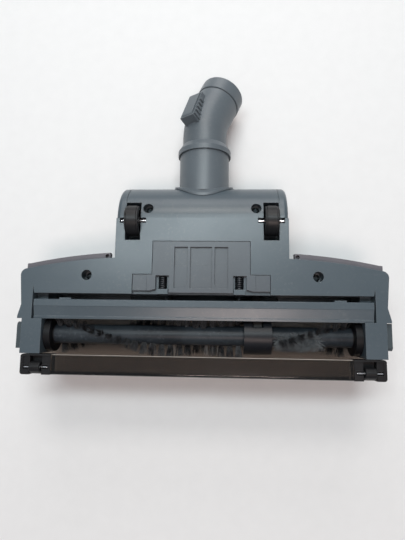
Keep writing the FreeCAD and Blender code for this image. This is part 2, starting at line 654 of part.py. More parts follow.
def make_top_cover():
    """Make the crown shell: wings, sloped front, flat crown and the dome's lower half."""
    def arc_radius(run, rise):
        return f"(({run}) ^ 2 + ({rise}) ^ 2) / (2 * ({rise}))"

    def side_profile(inset):
        return [
            ("window_rear_y + gap", "split_z + 1"),
            ("window_rear_y + gap", f"window_z + {inset}"),
            ("crown_slope_y", f"crown_slope_z + {inset}",
             arc_radius("crown_flat_y - crown_slope_y", "crown_slope_z"), 1),
            ("crown_flat_y", inset),
            ("dome_y", inset),
            ("dome_y", "split_z + 1"),
        ]

    def wing_profile(inset):
        return [
            ("window_rear_y + gap", "split_z + 1"),
            ("window_rear_y + gap", f"window_z + {inset}"),
            ("wing_floor_y", f"window_z + {inset}",
             arc_radius(f"wing_root_y - {inset} - wing_floor_y", "wing_rear_z - window_z"), 1),
            (f"wing_root_y - {inset}", f"wing_rear_z + {inset}"),
            (f"wing_root_y - {inset}", "split_z + 1"),
        ]

    def solid(name, inset, round_end):
        middle = slab(f"{name}_middle", "YZ_Plane", side_profile(inset), f"{inset} - block_x",
                      f"block_x - {inset}")
        wings = slab(f"{name}_wings", "YZ_Plane", wing_profile(inset), f"{inset} - flare_x",
                     f"flare_x - {inset}")
        limits = plan(f"{name}_plan", inset, "0", "split_z")
        return fused(f"{name}_all", common(f"{name}_shape", fused(f"{name}_sides", middle, wings), limits),
                     round_end)

    lower = box("lower_half", ("-flare_x", "flare_x"), ("0", "dome_y + dome_r"), ("0", "split_z"))
    outer = solid("cover_outer", "0", common("dome_lower", dome("dome_lower_drum", "dome_r", "block_x"),
                                             lower))
    inner_drum = common("dome_room_lower", drum("dome_room_drum", "dome_r - wall", "block_x - dome_edge"),
                        lower)
    inner = solid("cover_inner", "wall", inner_drum)
    shell = cut("cover_shell", outer, inner)

    partition = box("cover_partition", ("barrel_x + gap", "barrel_x + gap + wall"),
                    ("latch_rear_y", "dome_y + dome_r"),
                    ("0", "split_z - gap"))
    room_wall = box("cover_room_wall", ("turbine_wall_x", "turbine_wall_x + wall"),
                    ("window_rear_y + gap", "latch_rear_y + 1"),
                    ("0", "split_z - gap"))
    bosses = [
        rod(f"cover_{name}_boss", "z", (f"{name}_x", f"{name}_y", "0"), "boss_r", "split_z - gap")
        for name in ("wing_screw", "dome_screw")
    ]
    limit_drum = common("cover_limit_drum", drum("cover_limit_round", "dome_r - 1", "block_x - dome_edge"),
                        lower)
    inside = common("cover_fittings", fused("cover_fittings_all", partition, room_wall, *bosses),
                    solid("cover_limit", "1", limit_drum))
    clear = cut("cover_fittings_clear", inside, drum("cover_barrel_room", "barrel_r + gap", "barrel_x + gap"))
    pilots = [
        rod(f"cover_{name}_pilot", "z", (f"{name}_x", f"{name}_y", "split_z - 12"), "screw_r + 0.02", "20")
        for name in ("wing_screw", "dome_screw")
    ]
    slot = neck_slot("neck_slot_lower", "1", "-tilt_down")
    crown_slot = box("crown_slot", ("-cover_slot_x", "cover_slot_x"), ("dome_y - 16", "dome_y + 1"),
                     ("-1", "wall + 3"))
    belt_way = box("cover_belt_way", belt_sides(), ("window_rear_y", "turbine_y + pinion_r + belt_behind"),
                   ("belt_low_z", "split_z"))
    cover = cut("top_cover_body", fused("cover_solid", shell, both_sides("cover_inside", clear)),
                both_sides("cover_pilots", fused("cover_pilots_right", *pilots)), slot, crown_slot, belt_way,
                bearing_seat("cover"))
    node("top_cover", cover)


def make_trims():
    """Make the strip along the rear edge of each wing, with a hole in its inner end."""
    ring = cut("trim_ring", plan("trim_outside", "-trim_thick", "trim_low_z", "trim_high_z"),
               plan("trim_seat", "-0.02", "trim_low_z - 1", "trim_high_z + 1"))
    span = box("trim_span", ("trim_in_x", "trim_out_x"),
               ("wing_tip_y - wing_round", "wing_root_y + trim_thick + 1"),
               ("trim_low_z", "trim_high_z"))
    hole = rod("trim_hole", "z", ("trim_in_x + trim_thick / 2", "wing_root_y + trim_thick / 2 - 0.4",
                                  "trim_low_z + 1.6"),
               "trim_thick / 2 - 0.7", "trim_high_z - trim_low_z + 2")
    node_pair("trim", cut("trim_right_body", common("trim_strip", ring, span), hole))


def make_window():
    """Make the smoked window: front bar, front wall and the roof over the roll."""
    outer = [
        ("bar_rear_y", "sole_z - window_wall"),
        ("bar_rear_y", "sole_z - 0.6"),
        ("bar_rear_y - 0.6", "sole_z"),
        ("front_y + 2", "sole_z", "2", 1),
        ("front_y", "sole_z - 2"),
        ("front_y", "sole_z - 14", "60", 1),
        ("-18", "window_z + 6", "22", 1),
        ("-4", "window_z"),
        ("window_rear_y", "window_z"),
        ("window_rear_y", "window_z + window_wall"),
        ("-4", "window_z + window_wall", "19.6", -1),
        ("-16.6", "window_z + 8", "57.6", -1),
        ("front_y + window_wall", "sole_z - 14"),
        ("front_y + window_wall", "sole_z - window_wall"),
    ]
    skin = slab("window_skin", "YZ_Plane", outer, "-window_x", "window_x")
    side = slab("window_side", "YZ_Plane", [
        ("front_y + 1", "sole_z - 14", "60", 1),
        ("-17.6", "window_z + 6.6", "22", 1),
        ("-4", "window_z + 1"),
        ("window_rear_y", "window_z + 1"),
        ("window_rear_y", "split_z - gap"),
        ("bar_rear_y - gap", "split_z - gap"),
        ("bar_rear_y - gap", "sole_z - 14"),
    ], "window_x - window_wall", "window_x")
    room = box("carrier_room", ("carrier_in_x - gap", "window_x + 1"), ("front_y - 1", "bar_rear_y + 1"),
               ("sole_z - carrier_depth - gap", "sole_z + 1"))
    window = cut("front_window_body", fused("window_all", skin, both_sides("window_sides", side)),
                 both_sides("carrier_rooms", room))
    node("front_window", window)


def make_front_wheels():
    """Make each front wheel, its pin and the carrier that is clipped into the bar's end."""
    block = slab("carrier_block", "XY_Plane", [
        ("carrier_in_x", "front_y"),
        ("carrier_out_x - 2", "front_y", "2", 1),
        ("carrier_out_x", "front_y + 2"),
        ("carrier_out_x", "bar_rear_y - 1"),
        ("carrier_out_x - 1", "bar_rear_y"),
        ("carrier_in_x", "bar_rear_y"),
    ], "sole_z - carrier_depth", "sole_z")
    well = box("front_well", ("front_wheel_x - front_wheel_w / 2 - 0.6",
                              "front_wheel_x + front_wheel_w / 2 + 0.6"),
               ("front_y - 1", "front_well_y"),
               ("front_wheel_z - front_wheel_r - 0.8", "sole_z + 1"))
    groove = box("front_groove", ("front_wheel_x - front_pin_x - gap", "front_wheel_x + front_pin_x + gap"),
                 ("front_wheel_y - front_pin_r - 0.4", "front_wheel_y + front_pin_r + 0.4"),
                 ("front_wheel_z - front_pin_r - 0.02", "sole_z + 1"))
    dish = box("front_dish", ("front_wheel_x - front_pin_x - 1", "front_wheel_x + front_pin_x + 0.6"),
               ("front_wheel_y + front_pin_r + 1.2", "bar_rear_y - 1.6"), ("sole_z - 0.8", "sole_z + 1"))
    carrier = cut("carrier_right_body", block, well, groove, dish)
    pin = rod("front_pin_right", "x", ("front_wheel_x - front_pin_x", "front_wheel_y", "front_wheel_z"),
              "front_pin_r",
              "2 * front_pin_x")
    node_pair("front_wheel_carrier", carrier)
    node_pair("front_pin", pin, "front_wheel_x - front_pin_x", "front_wheel_y", "front_wheel_z")
    for side, sign in (("left", "-"), ("right", "")):
        wheel = turned(f"front_wheel_{side}_body", [
            ("-front_wheel_w / 2", "front_pin_r + run_gap"),
            ("-front_wheel_w / 2", "front_wheel_r - 0.6"),
            ("0.6 - front_wheel_w / 2", "front_wheel_r"),
            ("front_wheel_w / 2 - 0.6", "front_wheel_r"),
            ("front_wheel_w / 2", "front_wheel_r - 0.6"),
            ("front_wheel_w / 2", "front_pin_r + run_gap"),
        ])
        node(f"front_wheel_{side}", wheel, f"{sign}front_wheel_x", "front_wheel_y", "front_wheel_z")


def make_rear_wheels():
    """Make each rear wheel and the steel pin that lies in the dome's open grooves."""
    middle = "(wheel_in_x + wheel_out_x) / 2"
    for side, sign in (("left", "-"), ("right", "")):
        half = "wheel_w / 2"
        wheel = turned(f"rear_wheel_{side}_body", [
            (f"-{half}", "pin_r + run_gap"),
            (f"-{half}", "pin_r + 2"),
            (f"1.2 - {half}", "pin_r + 2.6"),
            (f"1.2 - {half}", "wheel_r - 3.4"),
            (f"-{half}", "wheel_r - 2.8"),
            (f"-{half}", "wheel_r - 0.9"),
            (f"0.5 - {half}", "wheel_r - 0.5"),
            (f"wheel_shoulder - {half}", "wheel_r - 0.5"),
            (f"wheel_shoulder + 0.3 - {half}", "wheel_r"),
            (f"{half} - wheel_shoulder - 0.3", "wheel_r"),
            (f"{half} - wheel_shoulder", "wheel_r - 0.5"),
            (f"{half} - 0.5", "wheel_r - 0.5"),
            (f"{half}", "wheel_r - 0.9"),
            (f"{half}", "wheel_r - 2.8"),
            (f"{half} - 1.2", "wheel_r - 3.4"),
            (f"{half} - 1.2", "pin_r + 2.6"),
            (f"{half}", "pin_r + 2"),
            (f"{half}", "pin_r + run_gap"),
        ])
        node(f"rear_wheel_{side}", wheel, f"{sign}{middle}", "wheel_y", "wheel_z")
        length = "pin_out_x - pin_in_x"
        pin = rod(f"rear_pin_{side}_body", "x", ("0", "0", "0"), "pin_r", length)
        start = "pin_in_x" if side == "right" else "-pin_out_x"
        node(f"rear_pin_{side}", pin, start, "wheel_y", "wheel_z")


def make_latch():
    """Make the sliding plate with its finger pockets and the two springs that push it back."""
    top = "sole_z"
    low = "sole_z - latch_thick"
    plate = slab("latch_plate_outline", "XY_Plane", [
        ("-notch_in_x", "latch_front_y"),
        ("notch_in_x", "latch_front_y"),
        ("notch_in_x", "shoulder_y"),
        ("notch_out_x - 1.6", "shoulder_y"),
        ("notch_out_x - 1.6", "bump_top_y"),
        ("arm_step_x - 2", "arm_front_y"),
        ("arm_x", "arm_front_y"),
        ("arm_x", "arm_rear_y"),
        ("latch_x", "arm_rear_y"),
        ("latch_x", "latch_rear_y"),
        ("-latch_x", "latch_rear_y"),
        ("-latch_x", "arm_rear_y"),
        ("-arm_x", "arm_rear_y"),
        ("-arm_x", "arm_front_y"),
        ("2 - arm_step_x", "arm_front_y"),
        ("1.6 - notch_out_x", "bump_top_y"),
        ("1.6 - notch_out_x", "shoulder_y"),
        ("-notch_in_x", "shoulder_y"),
    ], low, top)
    step = box("arm_step", ("arm_step_x", "arm_x + 1"), ("arm_front_y - 1", "arm_rear_y + 1"),
               ("sole_z - 0.4", "sole_z + 1"))
    pockets = []
    for name, left, right in (("middle", "-8", "8"), ("right", "10", "19.8"), ("left", "-19.8", "-10")):
        pockets.append(box(f"pocket_{name}_rear", (left, right), ("pocket_step_y", "pocket_rear_y"),
                           ("sole_z - pocket_deep", "sole_z + 1")))
        pockets.append(box(f"pocket_{name}_front", (left, right), ("pocket_front_y", "pocket_step_y"),
                           ("sole_z - pocket_shallow", "sole_z + 1")))
    corner = cut("pocket_corner", box("corner_box", ("10", "14"), ("pocket_front_y", "pocket_front_y + 4"),
                                      ("sole_z - pocket_shallow", "sole_z")),
                 rod("corner_round", "z", ("14", "pocket_front_y + 4", "0"), "4", "sole_z + 1"))
    body = cut("latch_plate_cut", plate, both_sides("arm_steps", step), *pockets)
    node("latch_plate", fused("latch_plate_body", body, both_sides("pocket_corners", corner)))

    length = "shoulder_y - bump_top_y - 2 * wire_r - 0.1"
    for side, sign in (("left", "-"), ("right", "")):
        spring = doc.addObject("Part::Feature", f"latch_spring_{side}_body")
        spring.Shape = coil(value("spring_r - wire_r"), value("wire_r"), value(length),
                            SIZES["spring_turns"][0])
        lay = FreeCAD.Rotation(FreeCAD.Vector(1, 0, 0), -90)
        node(f"latch_spring_{side}", spring, f"{sign}spring_x", "bump_top_y + wire_r + 0.05",
             "spring_z", lay)


def coil(radius, wire, length, turns):
    """Return a helical spring along Z, of square wire bent in short straight runs."""
    runs = 12
    count = int(turns * runs)
    rings = []
    for step in range(count + 1):
        angle = 2 * math.pi * step / runs
        out = FreeCAD.Vector(math.cos(angle), math.sin(angle), 0)
        middle = out * radius + FreeCAD.Vector(0, 0, length * step / count)
        rise = FreeCAD.Vector(0, 0, 1)
        rings.append([middle + out * a * wire + rise * b * wire for a,
                      b in ((-1, -1), (1, -1), (1, 1), (-1, 1))])
    faces = [Part.Face(Part.makePolygon([*rings[0], rings[0][0]])),
             Part.Face(Part.makePolygon([*rings[-1], rings[-1][0]]))]
    for near, far in zip(rings, rings[1:]):
        for corner in range(4):
            after = (corner + 1) % 4
            for points in ((near[corner], near[after], far[after]), (near[corner], far[after], far[corner])):
                faces.append(Part.Face(Part.makePolygon([*points, points[0]])))
    return Part.makeSolid(Part.makeShell(faces))


def make_brush_roll():
    """Make the roll: a turned core with its pulley, end discs, journals and bristle tufts."""
    half_pulley = "(belt_w / 2 + 0.8)"
    core = turned("roll_core", [
        ("-mouth_x - roll_bearing_w", "0"),
        ("-mouth_x - roll_bearing_w", "journal_r"),
        ("gap - mouth_x", "journal_r"),
        ("gap - mouth_x", "disc_r"),
        ("gap - mouth_x + disc_thick", "disc_r"),
        ("gap - mouth_x + disc_thick", "core_r"),
        (f"belt_x - {half_pulley} - 1.2", "core_r"),
        (f"belt_x - {half_pulley} - 1.2", "roll_pulley_r + 1.4"),
        (f"belt_x - {half_pulley}", "roll_pulley_r + 1.4"),
        (f"belt_x - {half_pulley}", "roll_pulley_r"),
        (f"belt_x + {half_pulley}", "roll_pulley_r"),
        (f"belt_x + {half_pulley}", "roll_pulley_r + 1.4"),
        (f"belt_x + {half_pulley} + 1.2", "roll_pulley_r + 1.4"),
        (f"belt_x + {half_pulley} + 1.2", "core_r"),
        ("mouth_x - gap - disc_thick", "core_r"),
        ("mouth_x - gap - disc_thick", "disc_r"),
        ("mouth_x - gap", "disc_r"),
        ("mouth_x - gap", "journal_r"),
        ("mouth_x + roll_bearing_w", "journal_r"),
        ("mouth_x + roll_bearing_w", "0"),
    ])
    node("brush_roll", core, "0", "0", "roll_z")

    pitch, end, rate = value("tuft_pitch"), value("tuft_end_x"), value("tuft_rate")
    guard = (value("guard_in_x - 3"), value("guard_out_x + 3"))
    tufts = []
    for index in range(int(2 * end / pitch) + 1):
        x = index * pitch - end
        if guard[0] < x < guard[1]:
            continue
        for half in (0, 180):
            angle = math.radians(value("tuft_lead") - rate * abs(x) + half)
            tufts.append(tuft(x, angle))
    bristles = doc.addObject("Part::Feature", "bristle_tufts_body")
    bristles.Shape = Part.makeCompound(tufts)
    node("bristle_tufts", bristles, "0", "0", "roll_z")

    for side, sign in (("left", -1), ("right", 1)):
        bearing = turned(f"roll_bearing_{side}_body", [
            ("0", "journal_r + run_gap"),
            ("0", "roll_bearing_r"),
            ("roll_bearing_w - 0.6", "roll_bearing_r"),
            ("roll_bearing_w", "roll_bearing_r - 0.6"),
            ("roll_bearing_w", "journal_r + run_gap"),
        ])
        turn = FreeCAD.Rotation(FreeCAD.Vector(0, 0, 1), 0 if sign > 0 else 180)
        node(f"roll_bearing_{side}", bearing, f"{sign} * (mouth_x + 0.3)", "0", "roll_z", turn)
        cap = bearing_cap(f"bearing_cap_{side}")
        node(f"bearing_cap_{side}", cap, f"{sign} * end_x", "0", "0", turn)


def bearing_cap(name):
    """Make the side plate that closes a roll bearing's seat, with its plug."""
    front, rear = "cap_front_y", "mouth_rear_y - 0.3"
    plate = slab(f"{name}_plate", "YZ_Plane", [
        (front, "cap_low_z + cap_round"),
        (front, "cap_high_z - cap_round", "cap_round", -1),
        (f"{front} + cap_round", "cap_high_z"),
        (rear, "cap_high_z"),
        (rear, "cap_low_z"),
        (f"{front} + cap_round", "cap_low_z", "cap_round", -1),
    ], "0.02", "cap_out_x - end_x")
    groove = slab(f"{name}_groove", "YZ_Plane", [
        (f"{front} + 3", "cap_low_z + 4"),
        (f"{front} + 3", "cap_high_z - 4"),
        (f"{rear} - 3", "cap_high_z - 4"),
        (f"{rear} - 3", "cap_low_z + 4"),
    ], "cap_out_x - end_x - 0.8", "cap_out_x - end_x + 1")
    plug = rod(f"{name}_plug", "x", ("mouth_x + roll_bearing_w + 1 - end_x", "0", "roll_z"),
               "roll_bearing_r - 0.3",
               "end_x - mouth_x - roll_bearing_w")
    return cut(f"{name}_body", fused(f"{name}_solid", plate, plug), groove)


def tuft(x, angle):
    """Return one bristle tuft that stands out of the roll at an angle round the X axis."""
    root, tip, radius = value("core_r"), value("tuft_tip_r"), value("tuft_r")
    out = FreeCAD.Vector(0, math.cos(angle), math.sin(angle))
    ring = Part.makePolygon([
        FreeCAD.Vector(x, 0, 0) + out * (root + 0.02)
        + FreeCAD.Vector(math.cos(spoke), -math.sin(spoke) * out.z, math.sin(spoke) * out.y) * radius
        for spoke in (math.radians(60 * step) for step in range(7))
    ])
    return Part.Face(ring).extrude(out * (tip - root))


def belt_sides():
    """Return the two sides of the room that the belt runs in."""
    return "belt_x - belt_w / 2 - belt_room", "belt_x + belt_w / 2 + belt_room"


def make_belt_drive():
    """Make the guard over the roll's pulley and the belt that comes through it from the turbine."""
    guard = rod("guard_outer", "x", ("guard_in_x", "0", "roll_z"), "guard_r", "guard_out_x - guard_in_x")
    hollow = rod("guard_inner", "x", ("guard_in_x - 1", "0", "roll_z"), "guard_r - guard_wall",
                 "guard_out_x - guard_in_x + 2")
    back = box("guard_back", ("guard_in_x", "guard_out_x"),
               ("guard_r - guard_root", "beam_rear_y - wall - gap"),
               ("roll_z - guard_low", "roll_z + guard_high"))
    tunnel = box("guard_tunnel", belt_sides(), ("0", "beam_rear_y + 1"),
                 ("roll_z - guard_low - 1", "roll_z + guard_r - guard_roof"))
    mouth = box("guard_mouth", ("guard_in_x - 1", "guard_out_x + 1"), ("-guard_r - 1", "guard_r - guard_skirt"),
                ("roll_z - guard_r - 1", "roll_z - guard_skirt"))
    node("belt_guard", cut("belt_guard_body", fused("guard_solid", guard, back), hollow, tunnel, mouth))

    belt = doc.addObject("Part::Feature", "drive_belt_body")
    far = FreeCAD.Vector(0, value("turbine_y"), value("turbine_z - roll_z"))
    slack = value("gap")
    inner = belt_loop(value("roll_pulley_r") + slack, value("pinion_r") + slack, far)
    outer = belt_loop(value("roll_pulley_r + belt_thick") + slack, value("pinion_r + belt_thick") + slack,
                      far)
    width = FreeCAD.Vector(value("belt_w"), 0, 0)
    belt.Shape = Part.Face(outer).extrude(width).cut(Part.Face(inner).extrude(width))
    node("drive_belt", belt, "belt_x - belt_w / 2", "0", "roll_z")


def belt_loop(near_radius, far_radius, far):
    """Return the closed line of an open belt round two pulleys, the near one at the origin."""
    along = FreeCAD.Vector(far).normalize()
    side = FreeCAD.Vector(1, 0, 0).cross(along)
    lean = math.asin((near_radius - far_radius) / far.Length)
    across = [side * sign * math.cos(lean) + along * math.sin(lean) for sign in (1, -1)]
    near = [normal * near_radius for normal in across]
    away = [far + normal * far_radius for normal in across]
    edges = [
        Part.makeLine(near[0], away[0]),
        Part.Arc(away[0], far + along * far_radius, away[1]).toShape(),
        Part.makeLine(away[1], near[1]),
        Part.Arc(near[1], -along * near_radius, near[0]).toShape(),
    ]
    return Part.Wire(edges)


def make_turbine():
    """Make the turbine: a bladed rotor on a shaft with a pinion, in two bearings."""
    rotor = turned("turbine_rotor_body", [
        ("-turbine_x", "shaft_r"),
        ("-turbine_x", "hub_r"),
        ("-0.8", "hub_r"),
        ("-0.8", "turbine_r - 1"),
        ("0.8", "turbine_r - 1"),
        ("0.8", "hub_r"),
        ("turbine_x", "hub_r"),
        ("turbine_x", "shaft_r"),
    ])
    blade = outline(on_plane(rotor, "YZ_Plane", "-turbine_x"), [
        ("hub_r - 1", "-blade_thick / 2"),
        ("turbine_r", "-blade_thick / 2"),
        ("turbine_r", "blade_thick / 2"),
        ("hub_r - 1", "blade_thick / 2"),
    ])
    pad = feature(rotor, "Pad", blade, Length="2 * turbine_x")
    ring = rotor.newObject("PartDesign::PolarPattern", "turbine_blades")
    ring.Originals = [pad]
    axis = [item for item in rotor.Origin.OriginFeatures if item.Role == "X_Axis"][0]
    ring.Axis = (axis, [""])
    ring.Angle = 360
    bind(ring, "Occurrences", "blade_count")
    rotor.Tip = ring
    node("turbine_rotor", rotor, "0", "turbine_y", "turbine_z")

    shaft = turned("turbine_shaft_body", [
        ("-turbine_wall_x - wall", "0"),
        ("-turbine_wall_x - wall", "shaft_r"),
        ("belt_x - belt_w / 2 - 1.5", "shaft_r"),
        ("belt_x - belt_w / 2 - 1.5", "pinion_r + 1.4"),
        ("belt_x - belt_w / 2 - 0.5", "pinion_r + 1.4"),
        ("belt_x - belt_w / 2 - 0.5", "pinion_r"),
        ("belt_x + belt_w / 2 + 1.5", "pinion_r"),
        ("belt_x + belt_w / 2 + 1.5", "0"),
    ])
    node("turbine_shaft", shaft, "0", "turbine_y", "turbine_z")
    for side, sign in (("left", "-1"), ("right", "1")):
        bearing = turned(f"turbine_bearing_{side}_body", [
            ("-turbine_bearing_w / 2", "shaft_r + run_gap"),
            ("-turbine_bearing_w / 2", "turbine_bearing_r"),
            ("turbine_bearing_w / 2", "turbine_bearing_r"),
            ("turbine_bearing_w / 2", "shaft_r + run_gap"),
        ])
        node(f"turbine_bearing_{side}", bearing, f"{sign} * (turbine_wall_x + wall / 2)", "turbine_y",
             "turbine_z")


def make_neck():
    """Make the neck: a barrel that tilts in the dome, its tube and the flare that slides over the dome."""
    drum_out = rod("barrel_drum", "x", ("-barrel_x", "0", "0"), "barrel_r", "2 * barrel_x")
    drum_in = rod("barrel_hollow", "x", ("-barrel_x - 1", "0", "0"), "barrel_r - wall", "2 * barrel_x + 2")
    tube = rod("neck_tube", "y", ("0", "barrel_r - wall", "0"), "neck_r", "neck_end - barrel_r + wall")
    bore = rod("neck_bore", "y", ("0", "0", "0"), "neck_bore_r", "neck_end + 1")
    flare = common(
        "flare_plate",
        rod("flare_round", "y", ("0", "10", "0"), "saddle_r", "dome_r"),
        rod("flare_top", "x", ("-saddle_r - 1", "0", "0"), "dome_r + gap + saddle_thick", "2 * saddle_r + 2"),
    )
    flare = cut("flare_ring", flare, rod("flare_seat", "x", ("-saddle_r - 2", "0", "0"), "dome_r + gap",
                                         "2 * saddle_r + 4"))
    across = ("air_side - barrel_x", "barrel_x - air_side")
    air = fused("barrel_air_way",
                box("air_front", across, ("-barrel_r - 1", "-air_lower_y"), ("-barrel_r - 1", "0")),
                box("air_upper", across, ("-barrel_r - 1", "-air_upper_y"), ("-1", "air_upper_z")))
    body = cut("neck_body", fused("neck_solid", drum_out, tube), drum_in, bore, air)
    neck = cut("neck_and_flare", fused("neck_with_flare", body, flare),
               rod("flare_bore", "y", ("0", "0", "0"), "neck_bore_r", "neck_end + 1"))
    node("neck", neck, "0", "dome_y", "split_z")


def swivel_turn():
    """Return the turn of the elbow about the neck's axis."""
    return FreeCAD.Rotation(FreeCAD.Vector(0, 1, 0), -value("swivel_deg"))


def bent_rod(name, radius, start, end):
    """Make a round bar that follows the elbow's axis."""
    body = new_body(name)
    path = on_plane(body, "YZ_Plane")
    elbow_path(path, start, end, "bend_r * tan(bend_deg / 2)")
    sweep = body.newObject("PartDesign::AdditivePipe", name + "_sweep")
    sweep.Profile = circle(on_plane(body, "XZ_Plane", f"-({start})"), "0", "0", radius)
    sweep.Spine = path
    return body


def at_corner(item, turn, y="0"):
    """Lay a solid at the elbow's corner, turned about the X axis."""
    place(item, "0", f"bend_at + {y}", "0")
    item.Placement.Rotation = turn
    return item


def make_swivel_collar():
    """Make the collar that holds the elbow on the neck."""
    collar = turned("swivel_collar_body", [
        ("neck_end - 4", "neck_r + gap"),
        ("neck_end - 4", "collar_r"),
        ("neck_end", "collar_r"),
        ("neck_end - 4 + collar_len", "elbow_r + 0.8"),
        ("neck_end - 4 + collar_len", "elbow_r + 0.02"),
        ("neck_end + 0.6", "elbow_r + 0.02"),
        ("neck_end + 0.6", "neck_r + gap"),
    ], about="y")
    node("swivel_collar", collar, "0", "dome_y", "split_z", swivel_turn())


def button_turn():
    """Return how the release button is turned against the elbow."""
    roll = FreeCAD.Rotation(FreeCAD.Vector(0, 1, 0), value("button_turn"))
    return roll.multiply(about_x(-value("button_lean")))


def button_guide():
    """Make the raised frame around the release button, with its side ribs."""
    side = "button_w / 2 + gap + button_rim"
    base = box("button_base", (f"-{side.replace(' + ', ' - ')}", side),
               ("button_front - gap - button_rim", "button_front + button_len + gap + button_rim"),
               ("button_seat_z - frame_depth", "button_seat_z + button_high - button_proud"))
    ribs = [
        box(f"button_rib_{step}", (f"-({side}) - button_rim", f"{side} + button_rim"),
            (f"button_front + rib_start + {step} * rib_pitch",
             f"button_front + rib_start + rib_w + {step} * rib_pitch"),
            ("button_seat_z - frame_depth", "button_seat_z + button_high - 2 * button_proud"))
        for step in range(int(value("rib_count")))
    ]
    return fused("button_guide", base, *ribs)


def make_elbow_pipe():
    """Make the bent pipe with its spigot, its end ring and the guide of the release button."""
    outside = bent_rod("elbow_outside", "elbow_r", "neck_end + gap", "ring_at + ring_len")
    bore = bent_rod("elbow_bore", "elbow_bore_r", "neck_end - spigot_len - 1", "ring_at + ring_len + 1")
    spigot = rod("elbow_spigot", "y", ("0", "neck_end - spigot_len", "0"), "spigot_r",
                 "spigot_len + gap + 0.5")
    groove = turned("ring_groove_body", [
        ("ring_at - ring_groove", "elbow_r - 0.7"),
        ("ring_at - ring_groove", "elbow_r + 2"),
        ("ring_at", "elbow_r + 2"),
        ("ring_at", "elbow_r - 0.7"),
    ], about="y")
    band = turned("end_ring_band", [
        ("ring_at", "elbow_bore_r"),
        ("ring_at", "ring_r - 0.4"),
        ("ring_at + 0.5", "ring_r"),
        ("ring_at + ring_len - 0.8", "ring_r"),
        ("ring_at + ring_len", "ring_r - 0.8"),
        ("ring_at + ring_len", "elbow_bore_r"),
    ], about="y")
    for item in (groove, band):
        at_corner(item, about_x(-value("bend_deg")))
    lean = button_turn()
    pocket = slab("button_pocket", "XY_Plane", [
        ("-button_w / 2 - gap", "button_front - gap"),
        ("button_w / 2 + gap", "button_front - gap"),
        ("button_w / 2 + gap", "button_front + button_len + gap"),
        ("-button_w / 2 - gap", "button_front + button_len + gap"),
    ], "button_seat_z", "button_seat_z + 2 * button_high")
    guide = at_corner(button_guide(), lean)
    lifted = at_corner(pocket, lean)
    solid = fused("elbow_solid", outside, spigot, band, guide)
    node("elbow_pipe", cut("elbow_body", solid, bore, groove, lifted), "0", "dome_y", "split_z",
         swivel_turn())


def make_release_button():
    """Make the button that frees the wand, with the spring under it."""
    top = "button_seat_z + button_high"
    head = slab("button_head", "YZ_Plane", [
        ("button_front", "button_seat_z + button_travel + button_lift"),
        ("button_front + button_len", "button_seat_z + button_travel + button_lift"),
        ("button_front + button_len", top),
        ("button_front + button_bevel_y", top),
        ("button_front", f"{top} - button_bevel_z"),
    ], "-button_w / 2", "button_w / 2")
    middle = "button_front + button_len / 2"
    bore = rod("button_spring_bore", "z", ("0", middle, "button_seat_z"), "button_spring_r + gap",
               "button_high - button_skin")
    turn = swivel_turn().multiply(button_turn())
    node("release_button", cut("button_body", head, bore), "0", "dome_y + bend_at", "split_z", turn)
    spring = doc.addObject("Part::Feature", "button_spring_body")
    length = value("button_high - button_skin - 2 * button_wire_r - button_lift")
    spring.Shape = coil(value("button_spring_r - button_wire_r"), value("button_wire_r"), length,
                        value("button_turns"))
    height = value("button_seat_z + button_wire_r + button_lift / 2")
    foot = turn.multVec(FreeCAD.Vector(0, value(middle), height))
    node("button_spring", spring, str(foot.x), f"dome_y + bend_at + {foot.y}", f"split_z + ({foot.z})", turn)


def elbow_path(sketch, start, end, tangent):
    """Draw the elbow's axis: a straight, a bend and the exit straight."""
    corner = FreeCAD.Vector(value("bend_at"), 0, 0)
    bend = math.radians(value("bend_deg"))
    along = FreeCAD.Vector(math.cos(bend), -math.sin(bend), 0)
    reach = value(tangent)
    first, last = corner - FreeCAD.Vector(reach, 0, 0), corner + along * reach
    begin, finish = FreeCAD.Vector(value(start), 0, 0), corner + along * value(end)
    sketch.addGeometry(Part.LineSegment(begin, first))
    sketch.addGeometry(arc_between(first, last, value("bend_r"), -1))
    sketch.addGeometry(Part.LineSegment(last, finish))
    sketch.addConstraint(Sketcher.Constraint("Coincident", 0, 2, 1, 2))
    sketch.addConstraint(Sketcher.Constraint("Coincident", 1, 1, 2, 1))
    fix(sketch, "DistanceX", (-1, 1, 0, 1), start, begin.x)
    fix(sketch, "DistanceY", (-1, 1, 0, 1), "0", 0)
    fix(sketch, "DistanceX", (-1, 1, 0, 2), f"bend_at - {tangent}", first.x)
    fix(sketch, "DistanceY", (-1, 1, 0, 2), "0", 0)
    fix(sketch, "DistanceX", (-1, 1, 2, 1), f"bend_at + {tangent} * cos(bend_deg)", last.x)
    fix(sketch, "DistanceY", (-1, 1, 2, 1), f"-{tangent} * sin(bend_deg)", last.y)
    fix(sketch, "Radius", (1,), "bend_r", value("bend_r"))
    fix(sketch, "DistanceX", (-1, 1, 2, 2), f"bend_at + ({end}) * cos(bend_deg)", finish.x)
    fix(sketch, "DistanceY", (-1, 1, 2, 2), f"-({end}) * sin(bend_deg)", finish.y)


